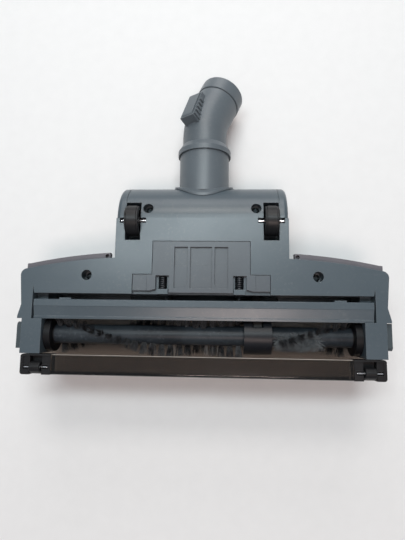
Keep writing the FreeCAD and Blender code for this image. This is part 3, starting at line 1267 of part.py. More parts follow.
def make_screws():
    """Make the four screws that hold the two housing halves together."""
    screws = []
    for name in ("wing_screw", "dome_screw"):
        shank = rod(f"{name}_shank", "z", (f"{name}_x", f"{name}_y", "split_z - 9"), "screw_r",
                    "recess_floor_z - split_z + 9.5")
        head = rod(f"{name}_head", "z", (f"{name}_x", f"{name}_y", "recess_floor_z + 0.02"), "screw_head_r",
                   "2.2")
        cross = [
            box(f"{name}_cross_x", (f"{name}_x - 1.8", f"{name}_x + 1.8"),
                (f"{name}_y - 0.35", f"{name}_y + 0.35"),
                ("recess_floor_z + 1.2", "recess_floor_z + 3")),
            box(f"{name}_cross_y", (f"{name}_x - 0.35", f"{name}_x + 0.35"),
                (f"{name}_y - 1.8", f"{name}_y + 1.8"),
                ("recess_floor_z + 1.2", "recess_floor_z + 3")),
        ]
        screws.append(cut(f"{name}_body", fused(f"{name}_solid", shank, head), *cross))
    node("housing_screws", both_sides("housing_screws_body", fused("screws_right", *screws)))


def check_and_write():
    """Stop if anything failed, then write every sub-part to its own file."""
    doc.recompute()
    for item in doc.Objects:
        if {"Invalid", "Error"} & set(item.State):
            raise SystemExit(f"{item.Name} failed: {item.State}")
    os.makedirs("parts", exist_ok=True)
    for item in nodes:
        if item.Shape.isNull() or not item.Shape.isValid():
            raise SystemExit(f"{item.Label} has no valid shape")
        item.Shape.exportStep(f"parts/{item.Label}.step")
    print(f"{len(nodes)} sub-parts written")


fill_sheet()
make_bottom_housing()
make_mouth_beam()
make_top_cover()
make_trims()
make_window()
make_front_wheels()
make_rear_wheels()
make_latch()
make_brush_roll()
make_belt_drive()
make_turbine()
make_neck()
make_swivel_collar()
make_elbow_pipe()
make_release_button()
make_screws()
check_and_write()
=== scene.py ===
"""Vacuum turbo brush lying on its crown, sole up, dressed for a plain studio picture."""

import json
import logging
import math
import random
from dataclasses import dataclass
from enum import Enum
from typing import Any, Dict, List, Sequence, Tuple

import bmesh
import bpy
from mathutils import Matrix, Vector


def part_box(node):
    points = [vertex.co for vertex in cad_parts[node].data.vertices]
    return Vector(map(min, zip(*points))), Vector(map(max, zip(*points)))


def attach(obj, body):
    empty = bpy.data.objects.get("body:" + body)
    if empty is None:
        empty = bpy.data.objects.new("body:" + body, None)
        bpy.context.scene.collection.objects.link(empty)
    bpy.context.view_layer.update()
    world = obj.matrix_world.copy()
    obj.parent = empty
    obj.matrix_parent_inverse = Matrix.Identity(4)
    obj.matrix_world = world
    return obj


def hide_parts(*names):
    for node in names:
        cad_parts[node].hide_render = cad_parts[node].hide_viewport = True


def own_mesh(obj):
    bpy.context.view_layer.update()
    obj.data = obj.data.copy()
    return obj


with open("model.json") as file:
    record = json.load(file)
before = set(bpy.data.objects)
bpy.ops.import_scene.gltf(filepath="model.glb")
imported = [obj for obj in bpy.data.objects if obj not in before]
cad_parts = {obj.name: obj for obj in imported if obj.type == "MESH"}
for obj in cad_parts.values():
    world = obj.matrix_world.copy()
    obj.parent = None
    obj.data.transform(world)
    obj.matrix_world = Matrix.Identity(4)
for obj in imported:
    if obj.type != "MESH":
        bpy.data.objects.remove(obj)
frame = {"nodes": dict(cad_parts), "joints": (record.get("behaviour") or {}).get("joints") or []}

LOG = logging.getLogger("turbo_brush")
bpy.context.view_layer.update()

Colour = Tuple[float, float, float]
Place = Tuple[float, float, float]
Inputs = Sequence[Tuple[str, str, Any]]

UP = Vector((0.0, 0.0, 1.0))
PALE: Colour = (0.80, 0.81, 0.82)
SMOKED_IOR = 1.49
PLASTIC_IOR = 1.48
LEAST_ROUGHNESS = 0.05
MERGE_WITHIN = 0.000002


class Look(Enum):
    """The kinds of surface that this object has."""

    PLASTIC = "moulded plastic"
    SMOKED = "smoked clear plastic"
    METAL = "bare metal"
    BRISTLE = "nylon bristle"


@dataclass(frozen=True)
class Finish:
    """One surface finish, with its colours in linear light and its lengths in metres."""

    name: str
    look: Look
    colour: Colour
    cloud: Colour
    roughness: float
    spread: float = 0.10
    grain_scale: float = 900.0
    grain_depth: float = 0.0
    edge_radius: float = 0.0004
    # edge_light: how strongly edges are painted pale, partly as rubbed wear and partly as a painted highlight
    edge_light: float = 0.25
    dust: float = 0.1
    dust_colour: Colour = (0.36, 0.35, 0.33)
    clean_beyond: float = 0.0
    specular: float = 0.5


HOUSING = Finish(
    "housing_plastic", Look.PLASTIC, colour=(0.064, 0.084, 0.099), cloud=(0.056, 0.075, 0.090),
    roughness=0.31, grain_scale=1500.0, grain_depth=0.00004, edge_light=0.40,
)
LATCH = Finish(
    "latch_plastic", Look.PLASTIC, colour=(0.059, 0.071, 0.084), cloud=(0.054, 0.064, 0.076),
    roughness=0.38, spread=0.08, grain_scale=1500.0, grain_depth=0.00003,
)
TRIM = Finish(
    "trim_plastic", Look.PLASTIC, colour=(0.104, 0.098, 0.112), cloud=(0.090, 0.085, 0.098),
    roughness=0.50, spread=0.08, grain_depth=0.00003,
)
NECK = Finish(
    "neck_plastic", Look.PLASTIC, colour=(0.094, 0.113, 0.128), cloud=(0.086, 0.103, 0.117),
    roughness=0.39, spread=0.08, grain_scale=1100.0, grain_depth=0.00002,
)
WINDOW = Finish(
    "smoked_window", Look.SMOKED, colour=(0.300, 0.262, 0.228), cloud=(0.265, 0.235, 0.205),
    roughness=0.13, edge_light=0.2, dust=0.05,
)
BLACK = Finish(
    "black_plastic", Look.PLASTIC, colour=(0.006, 0.006, 0.007), cloud=(0.009, 0.009, 0.010),
    roughness=0.38, spread=0.12, grain_depth=0.00002, edge_light=0.05, dust=0.04, specular=0.3,
)
ROLL = Finish(
    "roll_plastic", Look.PLASTIC, colour=(0.011, 0.014, 0.018), cloud=(0.026, 0.033, 0.040),
    roughness=0.40, spread=0.20, grain_scale=600.0, grain_depth=0.00004, edge_light=0.05,
    dust=0.26, dust_colour=(0.16, 0.19, 0.22), clean_beyond=0.111, specular=0.22,
)
GUARD = Finish(
    "guard_plastic", Look.PLASTIC, colour=(0.007, 0.008, 0.011), cloud=(0.010, 0.011, 0.014),
    roughness=0.38, grain_scale=500.0, grain_depth=0.00001, edge_light=0.10, dust=0.04, specular=0.25,
)
CAP = Finish(
    "cap_plastic", Look.PLASTIC, colour=(0.045, 0.060, 0.068), cloud=(0.036, 0.050, 0.058),
    roughness=0.40, grain_depth=0.00002,
)
BRISTLE = Finish(
    "bristle", Look.BRISTLE, colour=(0.004, 0.004, 0.005), cloud=(0.009, 0.009, 0.011),
    roughness=0.55, spread=0.15, dust=0.0, specular=0.12,
)
FADED = Finish(
    "faded_bristle", Look.BRISTLE, colour=(0.30, 0.27, 0.25), cloud=(0.20, 0.18, 0.17),
    roughness=0.6, dust=0.0,
)
LINT = Finish(
    "lint", Look.BRISTLE, colour=(0.120, 0.138, 0.148), cloud=(0.075, 0.088, 0.097),
    roughness=0.9, spread=0.05, dust=0.0,
)
# Pale colour of the bead that paints the highlight along the window bar's rear rim
RIM_HIGHLIGHT = Finish(
    "painted_rim_highlight", Look.PLASTIC, colour=(0.30, 0.27, 0.24), cloud=(0.22, 0.20, 0.18),
    roughness=0.45, edge_light=0.0,
)
# Steel darkened nearly to black: painted shade for the screws down in their recesses
SHADED_SCREW = Finish(
    "screw_steel_painted_shade", Look.METAL, colour=(0.022, 0.030, 0.034), cloud=(0.034, 0.042, 0.046),
    roughness=0.50, spread=0.12, grain_scale=500.0, grain_depth=0.00001,
)
BELT = Finish(
    "belt_rubber", Look.PLASTIC, colour=(0.014, 0.014, 0.015), cloud=(0.028, 0.027, 0.026),
    roughness=0.70, grain_scale=1200.0, grain_depth=0.00004, dust=0.2,
)
ROTOR = Finish(
    "rotor_plastic", Look.PLASTIC, colour=(0.52, 0.51, 0.47), cloud=(0.42, 0.41, 0.38),
    roughness=0.45, grain_scale=700.0, grain_depth=0.00002, dust=0.3,
)
STEEL = Finish(
    "steel", Look.METAL, colour=(0.66, 0.67, 0.69), cloud=(0.52, 0.52, 0.54),
    roughness=0.22, spread=0.12, grain_scale=500.0, grain_depth=0.00001,
)
DARK_STEEL = Finish(
    "dark_steel", Look.METAL, colour=(0.050, 0.054, 0.060), cloud=(0.075, 0.078, 0.085),
    roughness=0.42, spread=0.12, grain_scale=500.0, grain_depth=0.00001,
)
BRONZE = Finish(
    "bearing_metal", Look.METAL, colour=(0.50, 0.34, 0.16), cloud=(0.40, 0.27, 0.13),
    roughness=0.35, grain_scale=700.0, grain_depth=0.00002,
)
FINISHES: Tuple[Finish, ...] = (
    HOUSING, LATCH, TRIM, NECK, WINDOW, BLACK, ROLL, GUARD, CAP, BRISTLE, FADED, LINT, RIM_HIGHLIGHT, BELT, ROTOR,
    STEEL, DARK_STEEL, SHADED_SCREW, BRONZE,
)


class NodeSheet:
    """Adds nodes and links to one node tree."""

    def __init__(self, tree: bpy.types.NodeTree) -> None:
        """Take hold of a tree.

        Args:
            tree: the shader or geometry tree to build in.
        """
        self.tree = tree

    def add(self, kind: str, **values: Any) -> bpy.types.Node:
        """Add a node.

        Args:
            kind: the node's identifier.
            values: properties of the node, or default values of its inputs by name with _ for a space.

        Returns:
            The new node.
        """
        node = self.tree.nodes.new(kind)
        for key, value in values.items():
            if hasattr(node, key):
                setattr(node, key, value)
            else:
                node.inputs[key.replace("_", " ")].default_value = value
        return node

    def link(self, output: bpy.types.NodeSocket, target: bpy.types.NodeSocket) -> None:
        """Join an output to an input."""
        self.tree.links.new(output, target)

    def math(self, operation: str, *operands: Any) -> bpy.types.NodeSocket:
        """Add a Math node.

        Args:
            operation: the Math node's operation.
            operands: as many sockets or numbers as the operation takes.

        Returns:
            The value output.
        """
        node = self.add("ShaderNodeMath", operation=operation)
        for index, value in enumerate(operands):
            if isinstance(value, bpy.types.NodeSocket):
                self.link(value, node.inputs[index])
            else:
                node.inputs[index].default_value = value
        return node.outputs[0]

    def mix(self, factor: Any, first: Any, second: Any) -> bpy.types.NodeSocket:
        """Add a colour Mix node.

        Args:
            factor: a socket or a number from 0 to 1.
            first: the colour at 0, a socket or three numbers.
            second: the colour at 1, a socket or three numbers.

        Returns:
            The colour output.
        """
        node = self.add("ShaderNodeMix", data_type="RGBA")
        for index, value in ((0, factor), (6, first), (7, second)):
            if isinstance(value, bpy.types.NodeSocket):
                self.link(value, node.inputs[index])
            elif index == 0:
                node.inputs[index].default_value = value
            else:
                node.inputs[index].default_value = (*value, 1.0)
        return node.outputs[2]

    def direction(self) -> bpy.types.NodeSocket:
        """Read the direction that each point carries in a geometry tree.

        Returns:
            The direction output.
        """
        node = self.add("GeometryNodeInputNamedAttribute", data_type="FLOAT_VECTOR")
        node.inputs["Name"].default_value = "out"
        return node.outputs["Attribute"]

    def turned_to(self, aim: bpy.types.NodeSocket) -> bpy.types.NodeSocket:
        """Turn +Z to a direction.

        Args:
            aim: the direction.

        Returns:
            The rotation output.
        """
        node = self.add("FunctionNodeAlignRotationToVector", axis="Z")
        self.link(aim, node.inputs["Vector"])
        return node.outputs["Rotation"]

    def span(self, value: bpy.types.NodeSocket, low: float, high: float) -> bpy.types.NodeSocket:
        """Stretch a value smoothly so that low becomes 0 and high becomes 1.

        Args:
            value: the socket to stretch.
            low: what becomes 0, with all that is less.
            high: what becomes 1, with all that is more.

        Returns:
            The value output.
        """
        node = self.add("ShaderNodeMapRange", interpolation_type="SMOOTHSTEP")
        self.link(value, node.inputs[0])
        node.inputs[1].default_value = low
        node.inputs[2].default_value = high
        return node.outputs[0]


class ShaderGroups:
    """The effects that several materials share, each built once as a node group."""

    PEBBLE_SCALE = 0.7
    PEBBLE_SHARE = 0.4
    WAVE_SCALE = 35.0
    WAVE_DEPTH = 0.00005
    PATCH_SCALE = 22.0
    PATCH_RANGE = (0.35, 0.65)
    EDGE_RANGE = (0.02, 0.30)
    EDGE_BREAKUP_SCALE = 160.0
    EDGE_BREAKUP_RANGE = (0.3, 0.6)
    # Pale edge colour: partly rubbed wear, partly a painted highlight on rounded edges
    WORN_AND_HIGHLIT_EDGE_COLOUR: Colour = (0.42, 0.44, 0.46)
    SCRATCH_SCALE = (60.0, 900.0, 900.0)
    SCRATCH_TURN = 0.35
    SCRATCH_RANGE = (0.66, 0.74)
    SCRATCH_ROUGHNESS = 0.4
    FACING_UP_RANGE = (0.1, 0.9)
    FLECK_SCALE = 420.0
    FLECK_RANGE = (0.50, 0.72)
    DRIFT_SCALE = 30.0
    DRIFT_RANGE = (0.35, 0.7)
    CLEAN_COLOUR: Colour = (0.006, 0.006, 0.007)

    def __init__(self) -> None:
        """Build every group."""
        self.grain = self._build_grain()
        self.wear = self._build_wear()

    @staticmethod
    def _start(
        name: str, inputs: Inputs, outputs: Sequence[Tuple[str, str]]
    ) -> Tuple[NodeSheet, bpy.types.Node, bpy.types.Node]:
        """Open a new group.

        Args:
            name: the group's name.
            inputs: name, socket type and default of each input.
            outputs: name and socket type of each output.

        Returns:
            The sheet, the input node and the output node.
        """
        tree = bpy.data.node_groups.new(name, "ShaderNodeTree")
        for label, kind, default in inputs:
            socket = tree.interface.new_socket(name=label, in_out="INPUT", socket_type=kind)
            if default is not None:
                socket.default_value = default
        for label, kind in outputs:
            tree.interface.new_socket(name=label, in_out="OUTPUT", socket_type=kind)
        sheet = NodeSheet(tree)
        return sheet, sheet.add("NodeGroupInput"), sheet.add("NodeGroupOutput")

    def _build_grain(self) -> bpy.types.NodeTree:
        """Build the fine pebbled texture of a spark-eroded mould, with its slow waviness.

        Returns:
            The group, with a Height output in metres.
        """
        sheet, given, out = self._start(
            "Mould_Grain",
            [
                ("Vector", "NodeSocketVector", None),
                ("Scale", "NodeSocketFloat", 1500.0),
                ("Depth", "NodeSocketFloat", 0.00003),
            ],
            [("Height", "NodeSocketFloat")],
        )
        fine = sheet.add("ShaderNodeTexNoise", Detail=2.0, Roughness=0.6)
        pebble = sheet.add("ShaderNodeTexVoronoi", feature="SMOOTH_F1")
        wave = sheet.add("ShaderNodeTexNoise", Scale=self.WAVE_SCALE, Detail=1.0)
        for node in (fine, pebble, wave):
            sheet.link(given.outputs["Vector"], node.inputs["Vector"])
        sheet.link(given.outputs["Scale"], fine.inputs["Scale"])
        sheet.link(sheet.math("MULTIPLY", given.outputs["Scale"], self.PEBBLE_SCALE), pebble.inputs["Scale"])
        fine_part = sheet.math("MULTIPLY", fine.outputs["Fac"], 1.0 - self.PEBBLE_SHARE)
        pebble_part = sheet.math("MULTIPLY", pebble.outputs["Distance"], self.PEBBLE_SHARE)
        height = sheet.math("MULTIPLY", sheet.math("ADD", fine_part, pebble_part), given.outputs["Depth"])
        slow = sheet.math("MULTIPLY", wave.outputs["Fac"], self.WAVE_DEPTH)
        sheet.link(sheet.math("ADD", height, slow), out.inputs["Height"])
        return sheet.tree

    def _build_wear(self) -> bpy.types.NodeTree:
        """Build the colour of a used surface: clouding, pale edges that are partly rubbed wear and partly a
        painted highlight, fine scratches and dust on what faces up.

        Returns:
            The group, with Color and Rough outputs.
        """
        sheet, given, out = self._start(
            "Use_And_Dust",
            [
                ("Vector", "NodeSocketVector", None),
                ("Base", "NodeSocketColor", (0.1, 0.1, 0.1, 1.0)),
                ("Cloud", "NodeSocketColor", (0.1, 0.1, 0.1, 1.0)),
                ("Edge Radius", "NodeSocketFloat", 0.0004),
                ("Edge Light", "NodeSocketFloat", 0.25),
                ("Dust", "NodeSocketFloat", 0.1),
                ("Dust Colour", "NodeSocketColor", (0.36, 0.35, 0.33, 1.0)),
                ("Clean Beyond", "NodeSocketFloat", 0.0),
            ],
            [("Color", "NodeSocketColor"), ("Rough", "NodeSocketFloat")],
        )
        patch = sheet.add("ShaderNodeTexNoise", Scale=self.PATCH_SCALE, Detail=4.0, Roughness=0.65)
        sheet.link(given.outputs["Vector"], patch.inputs["Vector"])
        amount = sheet.span(patch.outputs["Fac"], *self.PATCH_RANGE)
        clouded = sheet.mix(amount, given.outputs["Base"], given.outputs["Cloud"])
        shape = sheet.add("ShaderNodeNewGeometry")
        # Edges painted pale: partly wear rubbed by use, partly a painted highlight where rounded edges catch
        # the light
        worn_and_highlit = sheet.mix(self._worn_and_highlit_edges(sheet, given, shape), clouded, self.WORN_AND_HIGHLIT_EDGE_COLOUR)
        clean, settled = self._settled_dust(sheet, given, shape)
        kept = sheet.mix(clean, worn_and_highlit, self.CLEAN_COLOUR)
        sheet.link(sheet.mix(settled, kept, given.outputs["Dust Colour"]), out.inputs["Color"])

        clouds = sheet.math("SUBTRACT", patch.outputs["Fac"], 0.5)
        scratches = sheet.math("MULTIPLY", self._scratches(sheet, given), self.SCRATCH_ROUGHNESS)
        rough = sheet.math("ADD", clouds, scratches)
        sheet.link(sheet.math("ADD", rough, settled), out.inputs["Rough"])
        return sheet.tree

    def _worn_and_highlit_edges(
        self, sheet: NodeSheet, given: bpy.types.Node, shape: bpy.types.Node
    ) -> bpy.types.NodeSocket:
        """Find the edges painted pale: partly wear that use has rubbed, partly a painted highlight where the
        rounded edges catch the light.

        Args:
            sheet: the group's sheet.
            given: the group's input node.
            shape: the group's geometry node.

        Returns:
            How pale the surface is, from 0 to 1.
        """
        bevel = sheet.add("ShaderNodeBevel", samples=4)
        sheet.link(given.outputs["Edge Radius"], bevel.inputs["Radius"])
        dot = sheet.add("ShaderNodeVectorMath", operation="DOT_PRODUCT")
        sheet.link(bevel.outputs["Normal"], dot.inputs[0])
        sheet.link(shape.outputs["Normal"], dot.inputs[1])
        edge = sheet.span(sheet.math("SUBTRACT", 1.0, dot.outputs["Value"]), *self.EDGE_RANGE)
        edge_breakup = sheet.add("ShaderNodeTexNoise", Scale=self.EDGE_BREAKUP_SCALE, Detail=3.0)
        sheet.link(given.outputs["Vector"], edge_breakup.inputs["Vector"])
        uneven = sheet.math("MULTIPLY", edge, sheet.span(edge_breakup.outputs["Fac"], *self.EDGE_BREAKUP_RANGE))
        return sheet.math("MULTIPLY", uneven, given.outputs["Edge Light"])

    def _scratches(self, sheet: NodeSheet, given: bpy.types.Node) -> bpy.types.NodeSocket:
        """Draw fine scratches from side to side.

        Args:
            sheet: the group's sheet.
            given: the group's input node.

        Returns:
            1 on a scratch and 0 beside it.
        """
        stretch = sheet.add("ShaderNodeMapping")
        stretch.inputs["Scale"].default_value = self.SCRATCH_SCALE
        stretch.inputs["Rotation"].default_value = (0.0, 0.0, self.SCRATCH_TURN)
        sheet.link(given.outputs["Vector"], stretch.inputs["Vector"])
        scratch = sheet.add("ShaderNodeTexNoise", Scale=1.0, Detail=2.0)
        sheet.link(stretch.outputs["Vector"], scratch.inputs["Vector"])
        return sheet.span(scratch.outputs["Fac"], *self.SCRATCH_RANGE)

    def _settled_dust(
        self, sheet: NodeSheet, given: bpy.types.Node, shape: bpy.types.Node
    ) -> Tuple[bpy.types.NodeSocket, bpy.types.NodeSocket]:
        """Lay flecks of dust on what faces up, except beyond the clean line.

        Args:
            sheet: the group's sheet.
            given: the group's input node.
            shape: the group's geometry node.

        Returns:
            Where the surface is clean, and how much dust has settled.
        """
        up = sheet.add("ShaderNodeSeparateXYZ")
        sheet.link(shape.outputs["Normal"], up.inputs[0])
        lying = sheet.span(up.outputs["Z"], *self.FACING_UP_RANGE)
        fleck = sheet.add("ShaderNodeTexNoise", Scale=self.FLECK_SCALE, Detail=5.0, Roughness=0.7)
        drift = sheet.add("ShaderNodeTexNoise", Scale=self.DRIFT_SCALE, Detail=3.0)
        for node in (fleck, drift):
            sheet.link(given.outputs["Vector"], node.inputs["Vector"])
        fine = sheet.span(fleck.outputs["Fac"], *self.FLECK_RANGE)
        flecks = sheet.math("MULTIPLY", fine, sheet.span(drift.outputs["Fac"], *self.DRIFT_RANGE))
        side = sheet.add("ShaderNodeSeparateXYZ")
        sheet.link(given.outputs["Vector"], side.inputs[0])
        far_out = sheet.math("ABSOLUTE", side.outputs["X"])
        outside = sheet.math("GREATER_THAN", far_out, given.outputs["Clean Beyond"])
        limited = sheet.math("GREATER_THAN", given.outputs["Clean Beyond"], 0.0)
        clean = sheet.math("MULTIPLY", outside, limited)
        amount = sheet.math("MULTIPLY", given.outputs["Dust"], sheet.math("SUBTRACT", 1.0, clean))
        return clean, sheet.math("MULTIPLY", sheet.math("MULTIPLY", flecks, lying), amount)


class Paint:
    """Makes one material from each finish and hands it out."""

    BUMP_STRENGTH = 0.6

    def __init__(self) -> None:
        """Build the shared groups, then every material."""
        self.groups = ShaderGroups()
        self.materials: Dict[str, bpy.types.Material] = {}
        for finish in FINISHES:
            self.materials[finish.name] = self._build(finish)

    def _build(self, finish: Finish) -> bpy.types.Material:
        """Build one material.

        Args:
            finish: what the surface is like.

        Returns:
            The material.
        """
        material = bpy.data.materials.new(finish.name)
        material.use_nodes = True
        sheet = NodeSheet(material.node_tree)
        material.node_tree.nodes.clear()
        out = sheet.add("ShaderNodeOutputMaterial")
        shader = sheet.add("ShaderNodeBsdfPrincipled")
        sheet.link(shader.outputs[0], out.inputs["Surface"])
        place = sheet.add("ShaderNodeTexCoord").outputs["Object"]

        wear = sheet.add("ShaderNodeGroup")
        wear.node_tree = self.groups.wear
        sheet.link(place, wear.inputs["Vector"])
        wear.inputs["Base"].default_value = (*finish.colour, 1.0)
        wear.inputs["Cloud"].default_value = (*finish.cloud, 1.0)
        wear.inputs["Edge Radius"].default_value = finish.edge_radius
        wear.inputs["Edge Light"].default_value = finish.edge_light
        wear.inputs["Dust"].default_value = finish.dust
        wear.inputs["Dust Colour"].default_value = (*finish.dust_colour, 1.0)
        wear.inputs["Clean Beyond"].default_value = finish.clean_beyond
        sheet.link(wear.outputs["Color"], shader.inputs["Base Color"])
        rough = sheet.math("MULTIPLY_ADD", wear.outputs["Rough"], finish.spread, finish.roughness)
        sheet.link(sheet.math("MAXIMUM", rough, LEAST_ROUGHNESS), shader.inputs["Roughness"])
        if finish.grain_depth > 0.0:
            self._emboss(sheet, place, finish, shader)

        shader.inputs["Specular IOR Level"].default_value = finish.specular
        if finish.look is Look.METAL:
            shader.inputs["Metallic"].default_value = 1.0
        if finish.look is Look.SMOKED:
            shader.inputs["Transmission Weight"].default_value = 1.0
            shader.inputs["IOR"].default_value = SMOKED_IOR
        if finish.look is Look.PLASTIC:
            shader.inputs["IOR"].default_value = PLASTIC_IOR
        return material

    def _emboss(
        self, sheet: NodeSheet, place: bpy.types.NodeSocket, finish: Finish, shader: bpy.types.Node
    ) -> None:
        """Round a material's edges and give it the grain of its mould.

        Args:
            sheet: the material's sheet.
            place: the object coordinates.
            finish: what the surface is like.
            shader: the material's Principled node.
        """
        bevel = sheet.add("ShaderNodeBevel", samples=6, Radius=finish.edge_radius)
        grain = sheet.add("ShaderNodeGroup")
        grain.node_tree = self.groups.grain
        sheet.link(place, grain.inputs["Vector"])
        grain.inputs["Scale"].default_value = finish.grain_scale
        grain.inputs["Depth"].default_value = finish.grain_depth
        bump = sheet.add("ShaderNodeBump", Strength=self.BUMP_STRENGTH, Distance=1.0)
        sheet.link(grain.outputs["Height"], bump.inputs["Height"])
        sheet.link(bevel.outputs["Normal"], bump.inputs["Normal"])
        sheet.link(bump.outputs["Normal"], shader.inputs["Normal"])

    def __getitem__(self, finish: Finish) -> bpy.types.Material:
        """Return the material of a finish."""
        return self.materials[finish.name]


def cad(node: str) -> bpy.types.Object:
    """Return the object of a CAD node."""
    return frame["nodes"][node]


def joint(name: str) -> Dict[str, Any]:
    """Return what the record says of a joint."""
    return next(item for item in frame["joints"] if item["name"] == name)


def smooth(mesh: bpy.types.Mesh) -> None:
    """Shade every face of a mesh smoothly."""
    mesh.polygons.foreach_set("use_smooth", [True] * len(mesh.polygons))


def dress(paint: Paint, finish: Finish, *nodes: str, crease: float = 28.0, flatness: int = 80) -> None:
    """Give CAD nodes a finish and smooth shading across their curved faces.

    Args:
        paint: the materials.
        finish: the finish to use.
        nodes: names of the CAD nodes.
        crease: the angle in degrees from which an edge stays sharp.
        flatness: how strongly large faces keep their own direction.
    """
    for name in nodes:
        item = cad(name)
        item.data.materials.clear()
        item.data.materials.append(paint[finish])
        smooth(item.data)
        item.modifiers.new("join", "WELD").merge_threshold = MERGE_WITHIN
        split = item.modifiers.new("creases", "EDGE_SPLIT")
        split.split_angle = math.radians(crease)
        split.use_edge_sharp = False
        flat = item.modifiers.new("flats", "WEIGHTED_NORMAL")
        flat.mode = "FACE_AREA"
        flat.weight = flatness
        LOG.info("dressed %s as %s", name, finish.name)


def solids_of(item: bpy.types.Object) -> List[List[Vector]]:
    """Split a CAD node's corners into its separate solids.

    Args:
        item: the CAD node's object.

    Returns:
        One list of corners for each solid, always in the same order.
    """
    shell = bmesh.new()
    shell.from_mesh(item.data)
    bmesh.ops.remove_doubles(shell, verts=shell.verts, dist=MERGE_WITHIN)
    seen = set()
    groups: List[List[Vector]] = []
    for first in shell.verts:
        if first in seen:
            continue
        seen.add(first)
        group = [first]
        for corner in group:
            beside = [edge.other_vert(corner) for edge in corner.link_edges]
            new = [vert for vert in beside if vert not in seen]
            seen.update(new)
            group.extend(new)
        groups.append([corner.co.copy() for corner in group])
    shell.free()
    return groups


class GeometryTree:
    """A Geometry Nodes tree with named inputs, turned into a plain mesh when it has run."""

    def __init__(self, name: str, inputs: Inputs) -> None:
        """Open the tree.

        Args:
            name: the tree's name.
            inputs: name, socket type and value of each input after the geometry.
        """
        tree = bpy.data.node_groups.new(name, "GeometryNodeTree")
        tree.interface.new_socket(name="Geometry", in_out="INPUT", socket_type="NodeSocketGeometry")
        self.values = {label: value for label, _, value in inputs}
        for label, kind, _ in inputs:
            tree.interface.new_socket(name=label, in_out="INPUT", socket_type=kind)
        tree.interface.new_socket(name="Geometry", in_out="OUTPUT", socket_type="NodeSocketGeometry")
        self.sheet = NodeSheet(tree)
        self.given = self.sheet.add("NodeGroupInput")
        self.out = self.sheet.add("NodeGroupOutput")

    def points(self) -> bpy.types.NodeSocket:
        """Turn the corners of the given mesh into points.

        Returns:
            The points output.
        """
        node = self.sheet.add("GeometryNodeMeshToPoints")
        self.sheet.link(self.given.outputs["Geometry"], node.inputs["Mesh"])
        return node.outputs[0]

    def place(
        self, instance: bpy.types.NodeSocket, points: bpy.types.NodeSocket, **changes: bpy.types.NodeSocket
    ) -> None:
        """End the tree with one copy of a shape at each point.

        Args:
            instance: the shape to copy.
            points: where the copies go.
            changes: the copies' Rotation and Scale, where they have one.
        """
        placed = self.sheet.add("GeometryNodeInstanceOnPoints")
        for label, value in {"Points": points, "Instance": instance, **changes}.items():
            self.sheet.link(value, placed.inputs[label])
        self.finish(placed.outputs[0])

    def finish(self, instances: bpy.types.NodeSocket) -> None:
        """End the tree with Realize Instances and Set Material.

        Args:
            instances: the geometry to end with.
        """
        real = self.sheet.add("GeometryNodeRealizeInstances")
        coat = self.sheet.add("GeometryNodeSetMaterial")
        self.sheet.link(instances, real.inputs[0])
        self.sheet.link(real.outputs[0], coat.inputs["Geometry"])
        self.sheet.link(self.given.outputs["Material"], coat.inputs["Material"])
        self.sheet.link(coat.outputs[0], self.out.inputs[0])

    def run(self, name: str, seeds: bpy.types.Mesh) -> bpy.types.Object:
        """Run the tree on a mesh of points.

        Args:
            name: the finished piece's name.
            seeds: the mesh that the tree starts from.

        Returns:
            The piece, a plain mesh with no modifier.
        """
        carrier = bpy.data.objects.new(name + "_seeds", seeds)
        bpy.context.scene.collection.objects.link(carrier)
        modifier = carrier.modifiers.new("tree", "NODES")
        modifier.node_group = self.sheet.tree
        for socket in self.sheet.tree.interface.items_tree:
            if socket.item_type == "SOCKET" and socket.in_out == "INPUT" and socket.name in self.values:
                modifier[socket.identifier] = self.values[socket.name]
        graph = bpy.context.evaluated_depsgraph_get()
        mesh = bpy.data.meshes.new_from_object(carrier.evaluated_get(graph))
        mesh.name = name
        bpy.data.objects.remove(carrier)
        piece = bpy.data.objects.new(name, mesh)
        bpy.context.scene.collection.objects.link(piece)
        return piece


def seed_mesh(name: str, points: Sequence[Vector], outs: Sequence[Vector]) -> bpy.types.Mesh:
    """Make a mesh of loose points, each with a direction.

    Args:
        name: the mesh's name.
        points: where the points are.
        outs: the direction at each point, kept as the attribute out.

    Returns:
        The mesh.
    """
    mesh = bpy.data.meshes.new(name)
    mesh.from_pydata([tuple(p) for p in points], [], [])
    attribute = mesh.attributes.new("out", "FLOAT_VECTOR", "POINT")
    attribute.data.foreach_set("vector", [value for out in outs for value in out])
    return mesh


def settle(piece: bpy.types.Object, body: str, slot: str, *nodes: str) -> None:
    """Put a finished piece on its body and hide the CAD nodes that it replaces.

    Args:
        piece: the finished piece.
        body: the CAD body that it rides on.
        slot: not used.
        nodes: CAD nodes that it replaces.
    """
    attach(piece, body)
    if nodes:
        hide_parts(*nodes)
    LOG.info("built %s with %d faces", piece.name, len(piece.data.polygons))


@dataclass
class Housing:
    """The two moulded halves with the beam, trims, guard and end caps."""

    paint: Paint

    def build(self) -> None:
        """Dress the moulded shells and what is fixed to them."""
        dress(self.paint, HOUSING, "bottom_housing", "top_cover", "mouth_beam")
        dress(self.paint, TRIM, "trim_left", "trim_right")
        dress(self.paint, GUARD, "belt_guard", crease=50.0)
        dress(self.paint, CAP, "bearing_cap_left", "bearing_cap_right")
        dress(self.paint, WINDOW, "front_window")


@dataclass
class Wheels:
    """The four wheels with their carriers and steel pins."""

    paint: Paint

    def build(self) -> None:
        """Dress the wheels, the front carriers and the pins."""
        for side in ("left", "right"):
            dress(self.paint, BLACK, f"front_wheel_carrier_{side}")
            dress(self.paint, BLACK, f"front_wheel_{side}", f"rear_wheel_{side}")
            dress(self.paint, STEEL, f"front_pin_{side}", f"rear_pin_{side}")


